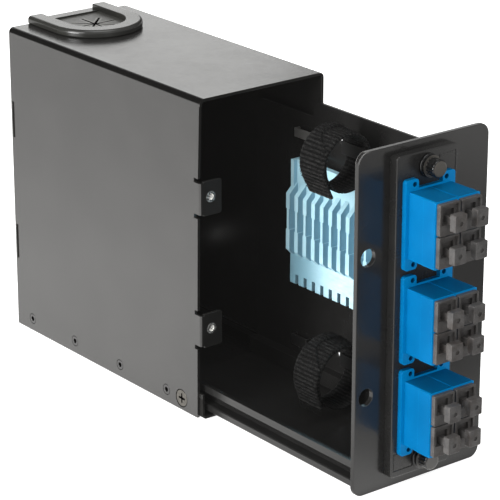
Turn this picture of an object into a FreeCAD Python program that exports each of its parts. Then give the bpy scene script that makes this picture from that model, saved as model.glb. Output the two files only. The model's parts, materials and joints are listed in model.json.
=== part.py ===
# Fiber termination box: sheet-metal housing with a slide-out drawer that carries
# one removable adapter panel (six SC duplex adapters, twelve capped ports),
# a splice holder and two fibre straps.  All sizes in millimetres.
#
# Frame: origin at the centre of the housing's underside, +X (front) towards the
# drawer bezel, +Z up, -Y (near) the side with the two lock tabs.  Seen from the
# front, left is -Y.  The drawer stands open.
import FreeCAD, Part
import Sketcher
import math
import os
from FreeCAD import Vector, Placement, Rotation

doc = FreeCAD.newDocument("fiber_termination_box")

# ---------------------------------------------------------------- driving sizes
SIZES = [
    # housing
    ("hous_depth", 136.0), ("hous_width", 63.0), ("hous_height", 136.5),
    ("cover_th", 1.2), ("base_th", 1.0), ("bend_rad", 2.3), ("bend_inner", 1.1),
    ("base_lip", 10.4),
    # lock tabs on the near side
    ("tab_width", 10.6), ("tab_tall", 14.4), ("tab_upper", 95.0), ("tab_lower", 38.7),
    ("insert_upper", 95.4), ("insert_lower", 39.2),
    ("tab_hole_in", 5.4), ("insert_rad", 2.3), ("insert_bore", 1.25),
    # drawer
    ("open_travel", 91.5), ("bezel_th", 2.0), ("bezel_left", 1.7), ("bezel_width", 64.7),
    ("bezel_height", 138.1), ("bezel_low", -0.4), ("bezel_corner", 4.5), ("lock_hole", 3.5),
    ("lock_hole_in", 7.0), ("lock_hole_upper", 96.45), ("lock_hole_lower", 40.3),
    ("tray_th", 1.0), ("tray_gap", 3.9), ("tray_far_gap", 2.9), ("tray_low", 2.4),
    ("tray_tail", 38.0), ("groove_low", 5.6), ("groove_high", 10.1), ("groove_deep", 4.2),
    ("lip_high", 13.4), ("wall_high", 124.7), ("wall_rear_high", 118.0), ("wall_step", -1.6),
    # guide rails
    ("rail_low", 5.9), ("rail_high", 9.7), ("rail_front", -18.0), ("rail_rear", -128.0),
    ("rivet_level", 5.5), ("rivet_shank", 0.95), ("rivet_head", 2.15),
    ("screw_back", 13.7), ("screw_level", 5.1),
    # cable entry
    ("entry_back", 114.9), ("entry_side", -1.0), ("entry_rad", 20.5), ("entry_neck", 18.0),
    ("entry_open", 13.2), ("entry_rise", 3.5), ("slit_len", 10.0), ("slit_width", 0.5),
    # adapter panel
    ("panel_width", 30.0), ("panel_height", 129.5), ("panel_low", 4.95), ("panel_left", 16.85),
    ("panel_proud", 4.0), ("panel_th", 1.2), ("plunger_span", 118.1),
    # adapters (SC duplex)
    ("adp_pitch", 37.8), ("adp_flange", 35.5), ("adp_body", 26.5), ("adp_thick", 10.6),
    ("adp_front", 16.8), ("adp_back", 12.0), ("port_pitch", 12.7), ("port_tall", 9.0),
    ("port_wide", 7.4), ("sleeve_rad", 1.6), ("sleeve_bore", 1.25), ("flange_th", 2.0),
    # splice holder
    ("fin_pitch", 5.4), ("fin_count", 13), ("fin_thin", 1.3), ("fin_thick", 2.3),
    ("comb_lift", 0.4),
    # straps
    ("strap_rad", 13.1), ("strap_th", 1.7), ("strap_width", 15.0),
]


class Size:
    """A number together with the sheet expression that drives it."""

    def __init__(self, value, text=None):
        self.value = float(value)
        if text is None:
            text = "%.6g" % value if value >= 0 else "(0 - %.6g)" % -value
        self.text = text

    def __add__(self, other):
        other = size(other)
        return Size(self.value + other.value, "(%s + %s)" % (self.text, other.text))

    __radd__ = __add__

    def __sub__(self, other):
        other = size(other)
        return Size(self.value - other.value, "(%s - %s)" % (self.text, other.text))

    def __rsub__(self, other):
        return size(other) - self

    def __mul__(self, other):
        other = size(other)
        return Size(self.value * other.value, "(%s * %s)" % (self.text, other.text))

    __rmul__ = __mul__

    def __truediv__(self, other):
        other = size(other)
        return Size(self.value / other.value, "(%s / %s)" % (self.text, other.text))

    def __neg__(self):
        return Size(-self.value, "(0 - %s)" % self.text)


def size(number):
    return number if isinstance(number, Size) else Size(number)


class Dims:
    """Holds each driving size as an attribute."""


dims = Dims()
spreadsheet = doc.addObject("Spreadsheet::Sheet", "Dims")
for row, (name, value) in enumerate(SIZES, start=1):
    spreadsheet.set("A%d" % row, name)
    spreadsheet.set("B%d" % row, repr(value))
    spreadsheet.setAlias("B%d" % row, name)
    setattr(dims, name, Size(value, "Dims.%s" % name))
doc.recompute()


# ---------------------------------------------------------------- shared places
def front(ahead):
    """x at a distance ahead of the housing's front plane (negative is behind it)."""
    return dims.hous_depth / 2 + ahead


def near(depth):
    """y at a distance in from the near side's outer face."""
    return -(dims.hous_width / 2) + depth


def far(depth):
    """y at a distance in from the far side's outer face."""
    return near(dims.hous_width - depth)


def across(side, outer, inner):
    """Low and high y of a span between two depths below a side's face (0 near, 1 far)."""
    return (far(inner), far(outer)) if side else (near(outer), near(inner))


TOP = dims.hous_height
REAR = front(-dims.hous_depth)
SIDE_WALL = dims.cover_th + dims.base_th       # cover and base lip together
RIVETS = [-124.3, -91.2, -57.5, -24.2]         # rail rivets, ahead of the front plane
SCREW_X = front(-dims.screw_back)
CLIP_SCREWS = (73.0, 89.0)                     # heights of the rail clip's screws
ENTRY_X = front(-dims.entry_back)

BEZEL_BACK = front(dims.open_travel)
BEZEL_FACE = BEZEL_BACK + dims.bezel_th
PANEL_FACE = BEZEL_FACE + dims.panel_proud
PANEL_LEFT = near(dims.panel_left)
PANEL_RIGHT = near(dims.panel_left + dims.panel_width)
PANEL_TOP = dims.panel_low + dims.panel_height
PANEL_Y = near(dims.panel_left + dims.panel_width / 2)
PANEL_Z = dims.panel_low + dims.panel_height / 2
PLUNGERS = [PANEL_Z + dims.plunger_span / 2, PANEL_Z - dims.plunger_span / 2]

TRAY_FAR = far(dims.tray_far_gap)              # outer face of the tray's far wall
TRAY_WALL = TRAY_FAR - dims.tray_th            # its inner face

ADAPTER_GAP = 0.05                             # from the panel's middle to each adapter
ADAPTER_HALF = dims.adp_thick / 2
PORT_RISE = dims.port_pitch / 2                # port centre from the adapter's centre
ROWS = [("top", PANEL_Z + dims.adp_pitch), ("middle", PANEL_Z),
        ("bottom", PANEL_Z - dims.adp_pitch)]
COLUMNS = [("left", PANEL_Y - (ADAPTER_HALF + ADAPTER_GAP)),
           ("right", PANEL_Y + (ADAPTER_HALF + ADAPTER_GAP))]


# ---------------------------------------------------------------- outlines
def rect(u0, v0, u1, v1):
    return [(u0, v0), (u1, v0), (u1, v1), (u0, v1)]


def rounded_rect(u0, v0, u1, v1, r):
    return [(u0 + r, v0), (u1 - r, v0), ("arc", (u1 - r, v0 + r), True),
            (u1, v0 + r), (u1, v1 - r), ("arc", (u1 - r, v1 - r), True),
            (u1 - r, v1), (u0 + r, v1), ("arc", (u0 + r, v1 - r), True),
            (u0, v1 - r), (u0, v0 + r), ("arc", (u0 + r, v0 + r), True)]


def d_shape(u, v, radius, flat):
    """D outline: half circle facing +u about (u, v), closed by a flat at u = flat."""
    return [(flat, v - radius), (u, v - radius), ("arc", (u, v), True),
            (u, v + radius), (flat, v + radius)]


# ---------------------------------------------------------------- body features
# Cutting shapes run half a millimetre or more past the faces they open.
PLANES = {"Z": "XY_Plane", "X": "YZ_Plane", "Y": "XZ_Plane"}


def new_body(name):
    body = doc.addObject("PartDesign::Body", name)
    body.Label = name
    return body


def bind(obj, prop, value):
    value = size(value)
    setattr(obj, prop, value.value)
    obj.setExpression(prop, value.text)


def origin_item(body, role):
    return next(item for item in body.Origin.OriginFeatures if item.Role == role)


def make_sketch(body, name, axis, offset, loops, circles):
    """A sketch on the origin plane normal to axis, shifted by offset along +axis.
    loops: lists of points (u, v), with ("arc", (centre u, centre v), counterclockwise)
    between two points that an arc joins.  circles: (u, v, radius)."""
    sketch = body.newObject("Sketcher::SketchObject", name)
    sketch.AttachmentSupport = [(origin_item(body, PLANES[axis]), "")]
    sketch.MapMode = "FlatFace"
    # the XZ plane faces -Y
    offset = -size(offset) if axis == "Y" else size(offset)
    sketch.AttachmentOffset = Placement(Vector(0, 0, offset.value), Rotation())
    sketch.setExpression("AttachmentOffset.Base.z", offset.text)
    constraints, expressions = [], []

    def pin(kind, *where, at):
        expressions.append((len(constraints), at.text))
        constraints.append(Sketcher.Constraint(kind, *where, at.value))

    for loop in loops:
        points, arcs = [], {}
        for item in loop:
            if item[0] == "arc":
                arcs[len(points) - 1] = item[1:]
            else:
                points.append((size(item[0]), size(item[1])))
        ends = []              # (geometry, its start vertex, its end vertex)
        following = points[1:] + points[:1]
        for i, (a, b) in enumerate(zip(points, following)):
            if i not in arcs:
                line = sketch.addGeometry(Part.LineSegment(
                    Vector(a[0].value, a[1].value, 0), Vector(b[0].value, b[1].value, 0)), False)
                ends.append((line, 1, 2))
                continue
            (u, v), ccw = arcs[i]
            u, v = size(u), size(v)
            start, end = (a, b) if ccw else (b, a)
            radius = math.hypot(a[0].value - u.value, a[1].value - v.value)
            angle0 = math.atan2(start[1].value - v.value, start[0].value - u.value)
            angle1 = math.atan2(end[1].value - v.value, end[0].value - u.value)
            if angle1 <= angle0:
                angle1 += 2 * math.pi
            circle = Part.Circle(Vector(u.value, v.value, 0), Vector(0, 0, 1), radius)
            arc = sketch.addGeometry(Part.ArcOfCircle(circle, angle0, angle1), False)
            ends.append((arc, 1, 2) if ccw else (arc, 2, 1))
            pin("DistanceX", -1, 1, arc, 3, at=u)
        for i, (geo, start, end) in enumerate(ends):
            next_geo, next_start, _ = ends[(i + 1) % len(ends)]
            constraints.append(
                Sketcher.Constraint("Coincident", geo, end, next_geo, next_start))
            pin("DistanceX", -1, 1, geo, start, at=points[i][0])
            pin("DistanceY", -1, 1, geo, start, at=points[i][1])
    for circle in circles:
        u, v, radius = [size(item) for item in circle]
        geo = sketch.addGeometry(
            Part.Circle(Vector(u.value, v.value, 0), Vector(0, 0, 1), radius.value), False)
        pin("DistanceX", -1, 1, geo, 3, at=u)
        pin("DistanceY", -1, 1, geo, 3, at=v)
        pin("Radius", geo, at=radius)
    sketch.addConstraint(constraints)
    for i, text in expressions:
        sketch.setExpression("Constraints[%d]" % i, text)
    return sketch


def prism(kind, body, name, axis, start, length, loops, circles):
    sketch = make_sketch(body, name + "_sk", axis, start, loops, circles)
    feature = body.newObject("PartDesign::" + kind, name)
    feature.Profile = sketch
    bind(feature, "Length", length)
    # pockets run against the sketch's normal, pads along it
    feature.Reversed = (axis == "Y") == (kind == "Pad")
    sketch.Visibility = False
    body.Tip = feature
    return feature


def pad(body, name, axis, start, length, loops=(), circles=()):
    """Adds a prism from start to start + length along +axis."""
    return prism("Pad", body, name, axis, start, length, loops, circles)


def cut(body, name, axis, start, length, loops=(), circles=()):
    """Removes a prism from start to start + length along +axis."""
    doc.recompute()
    before = body.Shape.Volume
    feature = prism("Pocket", body, name, axis, start, length, loops, circles)
    doc.recompute()
    if not before - body.Shape.Volume > 1e-3:
        raise RuntimeError("%s/%s removed nothing" % (body.Label, name))
    return feature


def fillet(body, name, radius, picks):
    """Rounds every edge for which picks(edge) is true."""
    doc.recompute()
    base = body.Tip
    names = ["Edge%d" % i for i, edge in enumerate(base.Shape.Edges, start=1) if picks(edge)]
    if not names:
        raise RuntimeError("%s/%s found no edge" % (body.Label, name))
    feature = body.newObject("PartDesign::Fillet", name)
    feature.Base = (base, names)
    bind(feature, "Radius", radius)
    body.Tip = feature
    doc.recompute()
    if "Invalid" in feature.State or "Error" in feature.State:
        raise RuntimeError("%s/%s failed: %s" % (body.Label, name, feature.State))


def polar_pattern(body, name, feature, axis_role, count):
    pattern = body.newObject("PartDesign::PolarPattern", name)
    pattern.Originals = [feature]
    pattern.Axis = (origin_item(body, axis_role), [""])
    pattern.Angle = 360
    pattern.Occurrences = count
    body.Tip = pattern


def edges_at(along=None, x=None, y=None, z=None):
    """A test for edges that run along one axis and lie on the given coordinates.
    A coordinate is a value, a (low, high) range or a list of either."""
    tolerance = 0.02

    def fits(low, high, place):
        if isinstance(place, list):
            return any(fits(low, high, item) for item in place)
        floor, ceiling = place if isinstance(place, tuple) else (place, place)
        return (low >= size(floor).value - tolerance and
                high <= size(ceiling).value + tolerance)

    def picks(edge):
        bb = edge.BoundBox
        spans = {"X": (bb.XMin, bb.XMax, x), "Y": (bb.YMin, bb.YMax, y),
                 "Z": (bb.ZMin, bb.ZMax, z)}
        for axis, (low, high, place) in spans.items():
            if along and (high - low > tolerance) != (axis == along):
                return False
            if place is not None and not fits(low, high, place):
                return False
        return True
    return picks


def rim_edges(x, y_low, y_high, z_low, z_high):
    """A test for edges in the plane at x that touch the sides of a rectangle."""
    def picks(edge):
        bb = edge.BoundBox
        pairs = ((bb.YMin, y_low), (bb.YMax, y_high), (bb.ZMin, z_low), (bb.ZMax, z_high))
        return edges_at(x=x)(edge) and any(abs(at - side.value) < 0.01 for at, side in pairs)
    return picks


# ---------------------------------------------------------------- plain solids
AXIS_TURN = {"Z": Rotation(), "X": Rotation(Vector(0, 1, 0), 90),
             "Y": Rotation(Vector(1, 0, 0), -90)}


def bind_place(obj, x, y, z, turn=Rotation()):
    place = [size(item) for item in (x, y, z)]
    obj.Placement = Placement(Vector(*[item.value for item in place]), turn)
    for axis, item in zip("xyz", place):
        obj.setExpression("Placement.Base." + axis, item.text)


def cylinder(name, axis, x, y, z, length, radius):
    solid = doc.addObject("Part::Cylinder", name)
    bind(solid, "Radius", radius)
    bind(solid, "Height", length)
    bind_place(solid, x, y, z, AXIS_TURN[axis])
    return solid


def side_cylinder(name, side, x, z, outer, inner, radius):
    """Cylinder along Y between two depths below a side's face."""
    start, end = across(side, outer, inner)
    return cylinder(name, "Y", x, start, z, end - start, radius)


def box(name, x0, y0, z0, x1, y1, z1):
    solid = doc.addObject("Part::Box", name)
    bind(solid, "Length", size(x1) - x0)
    bind(solid, "Width", size(y1) - y0)
    bind(solid, "Height", size(z1) - z0)
    bind_place(solid, x0, y0, z0)
    return solid


def fuse(name, solids):
    union = doc.addObject("Part::MultiFuse", name)
    union.Shapes = solids
    union.Refine = True
    return union


def minus(name, base, tool):
    result = doc.addObject("Part::Cut", name)
    result.Base = base
    result.Tool = tool
    return result


def group(name, solids):
    """Separate solids kept together under one name."""
    compound = doc.addObject("Part::Compound", name)
    compound.Links = solids
    compound.Label = name
    return compound


# ---------------------------------------------------------------- housing
def housing_cover():
    """One folded sheet: top and both sides, with two lock tabs at the near front edge."""
    body = new_body("housing_cover")
    thick = dims.cover_th
    pad(body, "wrap", "X", REAR, dims.hous_depth, loops=[[
        (near(0), 0), (near(thick), 0), (near(thick), TOP - thick), (far(thick), TOP - thick),
        (far(thick), 0), (far(0), 0), (far(0), TOP), (near(0), TOP)]])
    tabs = (("a", dims.tab_upper), ("b", dims.tab_lower))
    half_tab = dims.tab_tall / 2
    for letter, z in tabs:
        pad(body, "tab_" + letter, "X", front(-thick), thick, loops=[
            rounded_rect(near(0), z - half_tab, near(dims.tab_width), z + half_tab, 1.0)])
    fillet(body, "outer_bend", dims.bend_rad, edges_at("X", y=[near(0), far(0)], z=TOP))
    fillet(body, "inner_bend", dims.bend_inner,
           edges_at("X", y=[near(thick), far(thick)], z=TOP - thick))
    # relief notches at both ends of each tab
    notch_back, notch_in, notch_out = 4.2, 0.6, 1.2
    for letter, z in tabs:
        cut(body, "relief_" + letter, "Y", near(-1), thick + 1.6, loops=[
            rect(front(-notch_back), z + half_tab - notch_in,
                 front(0.5), z + half_tab + notch_out),
            rect(front(-notch_back), z - half_tab - notch_out,
                 front(0.5), z - half_tab + notch_in)])
    # the near side's front edge slants back a little behind the tabs
    reach = half_tab + notch_out - 0.3
    strips = [      # x and z of the upper end, then of the lower end
        (-0.4, TOP - 3.0, -1.5, dims.tab_upper + reach),
        (-1.8, dims.tab_upper - reach, -2.4, dims.tab_lower + reach),
        (-2.6, dims.tab_lower - reach, -2.9, -0.5)]
    cut(body, "edge_setback", "Y", near(-1), thick + 1.05, loops=[
        [(front(x_high), z_high), (front(x_low), z_low), (front(0.5), z_low),
         (front(0.5), z_high)] for x_high, z_high, x_low, z_low in strips])
    fillet(body, "tab_bend", 1.1, edges_at(
        "Z", x=front(0), y=near(0), z=[(z - half_tab, z + half_tab) for _, z in tabs]))
    cut(body, "tab_holes", "X", front(-thick - 0.5), thick + 1, circles=[
        (near(dims.tab_hole_in), z, dims.insert_rad)
        for z in (dims.insert_upper, dims.insert_lower)])
    # slots for the rear panel's tabs
    through = dims.hous_width + 2
    cut(body, "rear_slots", "Y", near(-1), through, loops=[
        rect(front(-135.15), low, front(-133.65), high)
        for low, high in ((31.6, 47.3), (87.6, 103.8))])
    # D-shaped cable entry, open to the rear edge
    cut(body, "entry", "Z", TOP - thick - 1, thick + 2, loops=[
        d_shape(ENTRY_X, dims.entry_side, dims.entry_neck, REAR - 1)])
    # holes and recessed seats for four rail rivets and one screw a side
    cut(body, "rivet_holes", "Y", near(-1), through, circles=[
        (front(x), dims.rivet_level, dims.rivet_shank + 0.1) for x in RIVETS] +
        [(SCREW_X, dims.screw_level, 2.05)])
    for name, y in (("seats_near", near(-1)), ("seats_far", far(0.7))):
        cut(body, name, "Y", y, 1.7, circles=[
            (front(x), dims.rivet_level, dims.rivet_head + 0.22) for x in RIVETS] +
            [(SCREW_X, dims.screw_level, 3.95)])
    return body


def base_panel():
    """Channel between the cover's sides, with a lip at the rear."""
    body = new_body("base_panel")
    length = 133.7
    thick, outer, lip = dims.base_th, dims.cover_th, dims.base_lip
    pad(body, "channel", "X", front(-length), length, loops=[[
        (near(outer), 0), (far(outer), 0), (far(outer), lip), (far(SIDE_WALL), lip),
        (far(SIDE_WALL), thick), (near(SIDE_WALL), thick), (near(SIDE_WALL), lip),
        (near(outer), lip)]])
    pad(body, "rear_lip", "X", front(-length), thick, loops=[rect(near(4), 0, far(4), 12)])
    fillet(body, "bends", 1.0, edges_at("X", y=[near(outer), far(outer)], z=0))
    cut(body, "fixings", "Y", near(outer - 0.5), dims.hous_width - 2 * outer + 1, circles=[
        (front(x), dims.rivet_level, dims.rivet_shank) for x in RIVETS] +
        [(SCREW_X, dims.screw_level, 1.95)])
    # the near lip ends a little behind the front plane
    cut(body, "lip_setback", "Y", near(outer - 0.3), thick + 0.5, loops=[
        rect(front(-1.0), thick + 0.3, front(0.5), lip + 1)])
    return body


def rear_panel():
    """Flat plate whose side tabs sit in the cover's slots."""
    body = new_body("rear_panel")
    back, thick = front(-135), 1.2
    edge = dims.cover_th + 0.1
    overlap = dims.cover_th + 0.2
    pad(body, "plate", "X", back, thick, loops=[rect(near(edge), 1.2, far(edge), TOP - edge)])
    for i, (low, high) in enumerate(((31.7, 47.2), (87.7, 103.7))):
        pad(body, "tab_near_%d" % i, "X", back, thick, loops=[
            rect(near(0.3), low, near(overlap), high)])
        pad(body, "tab_far_%d" % i, "X", back, thick, loops=[
            rect(far(overlap), low, far(0.3), high)])
    fillet(body, "top_corners", 1.4, edges_at("X", y=[near(edge), far(edge)], z=TOP - edge))
    cut(body, "entry_notch", "X", back - 1, 3, loops=[
        rect(near(10.8) + dims.entry_side, TOP - 3.2, far(10.8) + dims.entry_side, TOP + 1)])
    cut(body, "holes", "X", back - 1, 3, circles=[
        (y, z, 2.25) for z in (18.25, 118.25) for y in (near(11.5), far(11.5))] +
        [(0, z, 1.5) for z in CLIP_SCREWS])
    return body


def rail_rivets():
    """Rivets with a stepped blind bore in the head, four a side."""
    rivets = []
    for i, ahead in enumerate(RIVETS):
        for side in (0, 1):
            name = "rv%d%d" % (i, side)
            head, shank, bore, mouth = [
                side_cylinder(name + suffix, side, front(ahead), dims.rivet_level,
                              outer, inner, radius)
                for suffix, outer, inner, radius in (
                    ("h", 0.0, 0.7, dims.rivet_head), ("s", 0.7, 2.65, dims.rivet_shank),
                    ("d", -0.5, 1.6, 0.72), ("e", -0.5, 0.35, 1.05))]
            rivets.append(minus(name, fuse(name + "f", [head, shank]),
                                fuse(name + "g", [bore, mouth])))
    return group("rail_rivets", rivets)


def side_screws():
    """One cross-recessed screw a side, near the front."""
    screws = []
    x, z = SCREW_X, dims.screw_level
    recess = (-0.5, 1.1)                   # depths below the side's face
    slot_reach, slot_half = 2.1, 0.42
    for side in (0, 1):
        name = "sc%d" % side
        head = side_cylinder(name + "h", side, x, z, 0.06, 0.7, 3.55)
        shank = side_cylinder(name + "s", side, x, z, 0.7, 2.7, 1.95)
        y0, y1 = across(side, *recess)
        level_slot = box(name + "a", x - slot_reach, y0, z - slot_half,
                         x + slot_reach, y1, z + slot_half)
        upright_slot = box(name + "b", x - slot_half, y0, z - slot_reach,
                           x + slot_half, y1, z + slot_reach)
        middle = side_cylinder(name + "k", side, x, z, *recess, 0.85)
        screws.append(minus(name, fuse(name + "f", [head, shank]),
                            fuse(name + "c", [level_slot, upright_slot, middle])))
    return group("side_screws", screws)


def lock_inserts():
    """Flanged bushes in the two lock tabs."""
    inserts = []
    y = near(dims.tab_hole_in)
    for i, z in enumerate((dims.insert_upper, dims.insert_lower)):
        name = "ins%d" % i
        shank = cylinder(name + "s", "X", front(-2.8), y, z, 2.8, dims.insert_rad)
        flange = cylinder(name + "f", "X", front(-2.4), y, z, 1.2, 3.2)
        bore = cylinder(name + "b", "X", front(-4), y, z, 6, dims.insert_bore)
        inserts.append(minus(name, fuse(name + "u", [shank, flange]), bore))
    return group("lock_inserts", inserts)


def guide_rail(name, side, foot_depth):
    """Bar with a stop block at its front end and a thin foot that takes the rivets."""
    body = new_body(name)
    stop_length = 6.0
    rear, length = front(dims.rail_rear), dims.rail_front - dims.rail_rear
    y0, y1 = across(side, SIDE_WALL, 6.0)
    pad(body, "bar", "X", rear, length, loops=[rect(y0, dims.rail_low, y1, dims.rail_high)])
    y0, y1 = across(side, 5.9, 6.95)
    pad(body, "stop", "X", front(dims.rail_front - stop_length), stop_length, loops=[
        rect(y0, dims.rail_low, y1, dims.rail_high)])
    y0, y1 = across(side, SIDE_WALL, foot_depth)
    pad(body, "foot", "X", rear, length, loops=[rect(y0, 3.7, y1, dims.rail_high - 0.4)])
    y0, y1 = across(side, SIDE_WALL - 0.2, SIDE_WALL + 0.55)
    cut(body, "rivet_bores", "Y", y0, y1 - y0, circles=[
        (front(x), dims.rivet_level, dims.rivet_shank) for x in RIVETS])
    return body


# ---------------------------------------------------------------- cable entry
def cable_entry_frame():
    """D-shaped frame gripping the cover's top from above and below."""
    body = new_body("cable_entry_frame")
    middle, opening = dims.entry_side, dims.entry_open
    flange_th = 1.9
    top = TOP + dims.entry_rise

    def outline(radius, flat_ahead):
        return [d_shape(ENTRY_X, middle, radius, REAR + flat_ahead)]

    pad(body, "under_flange", "Z", TOP - dims.cover_th - flange_th, flange_th,
        loops=outline(dims.entry_neck + 1.8, 0.05))
    pad(body, "neck", "Z", TOP - dims.cover_th, dims.cover_th,
        loops=outline(dims.entry_neck, 0.05))
    pad(body, "rim", "Z", TOP, dims.entry_rise, loops=outline(dims.entry_rad, 0.05))
    cut(body, "opening", "Z", TOP + 1.1, 4, loops=outline(opening, 5.0))
    cut(body, "seat", "Z", TOP - 4, 5.1, loops=outline(opening + 2.0, 3.0))
    # the bar across the rear stands lower than the rim
    cut(body, "low_bar", "Z", top - 1.7, 3, loops=[
        rect(REAR - 1, middle - opening, REAR + 6, middle + opening)])
    # each fillet takes the straight sides, then the arc, told by its extent
    outer = [middle - dims.entry_rad, middle + dims.entry_rad]
    inner = [middle - opening, middle + opening]
    fillet(body, "bead", 1.6, lambda edge: edges_at(z=top)(edge) and (
        edges_at(y=outer)(edge) or edge.BoundBox.YLength > 38))
    fillet(body, "bead_foot", 0.8, lambda edge: edges_at(z=TOP)(edge) and (
        edges_at(y=outer)(edge) or edge.BoundBox.YLength > 40.5))
    fillet(body, "inner_lip", 0.5, lambda edge: edges_at(z=top)(edge) and (
        edges_at("X", y=inner)(edge) or
        (20 < edge.BoundBox.YLength < 27 and edge.BoundBox.XLength > 5)))
    return body


def cable_entry_membrane():
    """Thin web slit in a star; built about the star's centre and then placed."""
    body = new_body("cable_entry_membrane")
    flat = dims.entry_back - dims.hous_depth + 3.1
    pad(body, "sheet_web", "Z", 0, 1.4, loops=[d_shape(0, 0, dims.entry_open + 1.9, flat)])
    ray = cut(body, "ray", "Z", -0.5, 2.4, loops=[
        rect(0, -dims.slit_width / 2, dims.slit_len, dims.slit_width / 2)])
    polar_pattern(body, "star", ray, "Z_Axis", 8)
    bind_place(body, ENTRY_X, dims.entry_side, TOP - 0.35)
    return body


# ---------------------------------------------------------------- DIN rail clip
def din_rail_clip():
    """Hooked plate on the rear panel, slotted below for the latch."""
    body = new_body("din_rail_clip")
    width = 25
    profile = [     # x ahead of the front plane, z
        (-135.0, 42), (-135.0, 95), (-141.0, 95), (-141.0, 83.2), (-138.8, 83.2),
        (-138.8, 86.2), (-137.6, 86.2), (-137.6, 42)]
    pad(body, "profile", "Y", -width / 2, width, loops=[[(front(x), z) for x, z in profile]])
    cut(body, "slot_wide", "X", front(-136.6), 1.0, loops=[rect(-7.6, 41, 7.6, 66)])
    cut(body, "slot_neck", "X", front(-138.0), 1.6, loops=[rect(-5.6, 41, 5.6, 66)])
    lower, upper = CLIP_SCREWS
    seat_rad = 2.6
    cut(body, "screw_seats", "X", front(-138.0), 1.6, circles=[(0, lower, seat_rad)])
    cut(body, "screw_seat_top", "X", front(-142.0), 5.6, circles=[(0, upper, seat_rad)])
    cut(body, "screw_bores", "X", front(-137.0), 2.5, circles=[
        (0, z, 1.5) for z in CLIP_SCREWS])
    fillet(body, "soft_edges", 0.8, edges_at("Y", x=front(-141.0)))
    return body


def din_latch():
    """Latch in the clip's slot, with a slotted pull at its lower end."""
    body = new_body("din_latch")
    blocks = [      # name, rear x, length, half width, low z, high z
        ("foot", -136.55, 0.9, 7.5, 40, 62), ("neck", -137.55, 1.05, 5.5, 38, 62),
        ("block", -141.0, 3.5, 5.5, 36, 50.2), ("lip", -141.0, 2.2, 5.5, 50.0, 53.2)]
    for name, x, length, half, low, high in blocks:
        pad(body, name, "X", front(x), length, loops=[rect(-half, low, half, high)])
    pad(body, "pull", "X", front(-139.2), 2.2, loops=[rounded_rect(-5.5, 28, 5.5, 37, 2.0)])
    cut(body, "pull_slot", "X", front(-140), 4, loops=[
        rounded_rect(-3.2, 29.8, 3.2, 33.0, 1.5)])
    fillet(body, "lead", 1.2, edges_at("Y", x=front(-141.0), z=53.2))
    return body


def din_clip_screws():
    """Two cross-recessed screws that hold the clip to the rear panel."""
    screws = []
    slot_back, slot_floor = front(-138), front(-136.9)
    slot_reach, slot_half = 1.5, 0.3
    for z in CLIP_SCREWS:
        name = "dcs%d" % int(z)
        head = cylinder(name + "h", "X", front(-137.5), 0, z, 1.1, 2.5)
        shank = cylinder(name + "s", "X", front(-136.4), 0, z, 3.6, 1.5)
        level_slot = box(name + "a", slot_back, -slot_reach, z - slot_half,
                         slot_floor, slot_reach, z + slot_half)
        upright_slot = box(name + "b", slot_back, -slot_half, z - slot_reach,
                           slot_floor, slot_half, z + slot_reach)
        screws.append(minus(name, fuse(name + "f", [head, shank]),
                            fuse(name + "c", [level_slot, upright_slot])))
    return group("din_clip_screws", screws)


# ---------------------------------------------------------------- drawer
def drawer_tray():
    """Folded sheet: floor, grooves for both rails, low near lip and tall far wall."""
    body = new_body("drawer_tray")
    thick, floor = dims.tray_th, dims.tray_low
    low, high = dims.groove_low, dims.groove_high
    left, right = near(dims.tray_gap), TRAY_FAR
    left_groove, right_groove = left + dims.groove_deep, right - dims.groove_deep
    pad(body, "section", "X", front(-dims.tray_tail), dims.tray_tail + dims.open_travel, loops=[[
        (left, dims.lip_high), (left, high), (left_groove, high), (left_groove, low),
        (left, low), (left, floor), (right, floor), (right, low),
        (right_groove, low), (right_groove, high), (right, high), (right, dims.wall_high),
        (right - thick, dims.wall_high), (right - thick, high + thick),
        (right_groove - thick, high + thick), (right_groove - thick, low - thick),
        (right - thick, low - thick), (right - thick, floor + thick),
        (left + thick, floor + thick), (left + thick, low - thick),
        (left_groove + thick, low - thick), (left_groove + thick, high + thick),
        (left + thick, high + thick), (left + thick, dims.lip_high)]])
    fillet(body, "bends", 0.7, edges_at("X", y=[left, right], z=[high, low, floor]))
    # the far wall drops to a lower level behind a rounded step
    step, corner = dims.wall_step, 5
    behind = front(-dims.tray_tail - 1)
    cut(body, "rear_step", "Y", right - 2, 3, loops=[[
        (behind, dims.wall_rear_high), (front(step), dims.wall_rear_high),
        (front(step), dims.wall_high - corner),
        ("arc", (front(step + corner), dims.wall_high - corner), False),
        (front(step + corner), dims.wall_high), (front(step + corner), dims.wall_high + 1),
        (behind, dims.wall_high + 1)]])
    pad(body, "front_lip_far", "X", BEZEL_BACK - 1, 1.0, loops=[
        rect(near(46.5), 14.0, TRAY_WALL + 0.2, 122)])
    pad(body, "front_lip_near", "X", BEZEL_BACK - 1, 1.0, loops=[
        rect(near(9.5), floor + 0.3, near(23), 12)])
    # stops that meet the rails' stop blocks when the drawer is fully out
    stop_x, stop_length, stop_depth = front(-26.0), 1.9, 6.4
    stop_low, stop_high = 6.4, 8.4
    pad(body, "stop_near", "X", stop_x, stop_length, loops=[
        rect(near(stop_depth), stop_low, left_groove + 0.2, stop_high)])
    pad(body, "stop_far", "X", stop_x, stop_length, loops=[
        rect(right_groove - 0.2, stop_low, far(stop_depth), stop_high)])
    cut(body, "wall_holes", "Y", right - 2, 3, circles=[
        (front(16.2), z, 1.1) for z in (111.6, 19.15)])
    fillet(body, "rear_corner", 4.0,
           edges_at("Y", x=front(-dims.tray_tail), z=dims.wall_rear_high))
    return body


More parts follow.
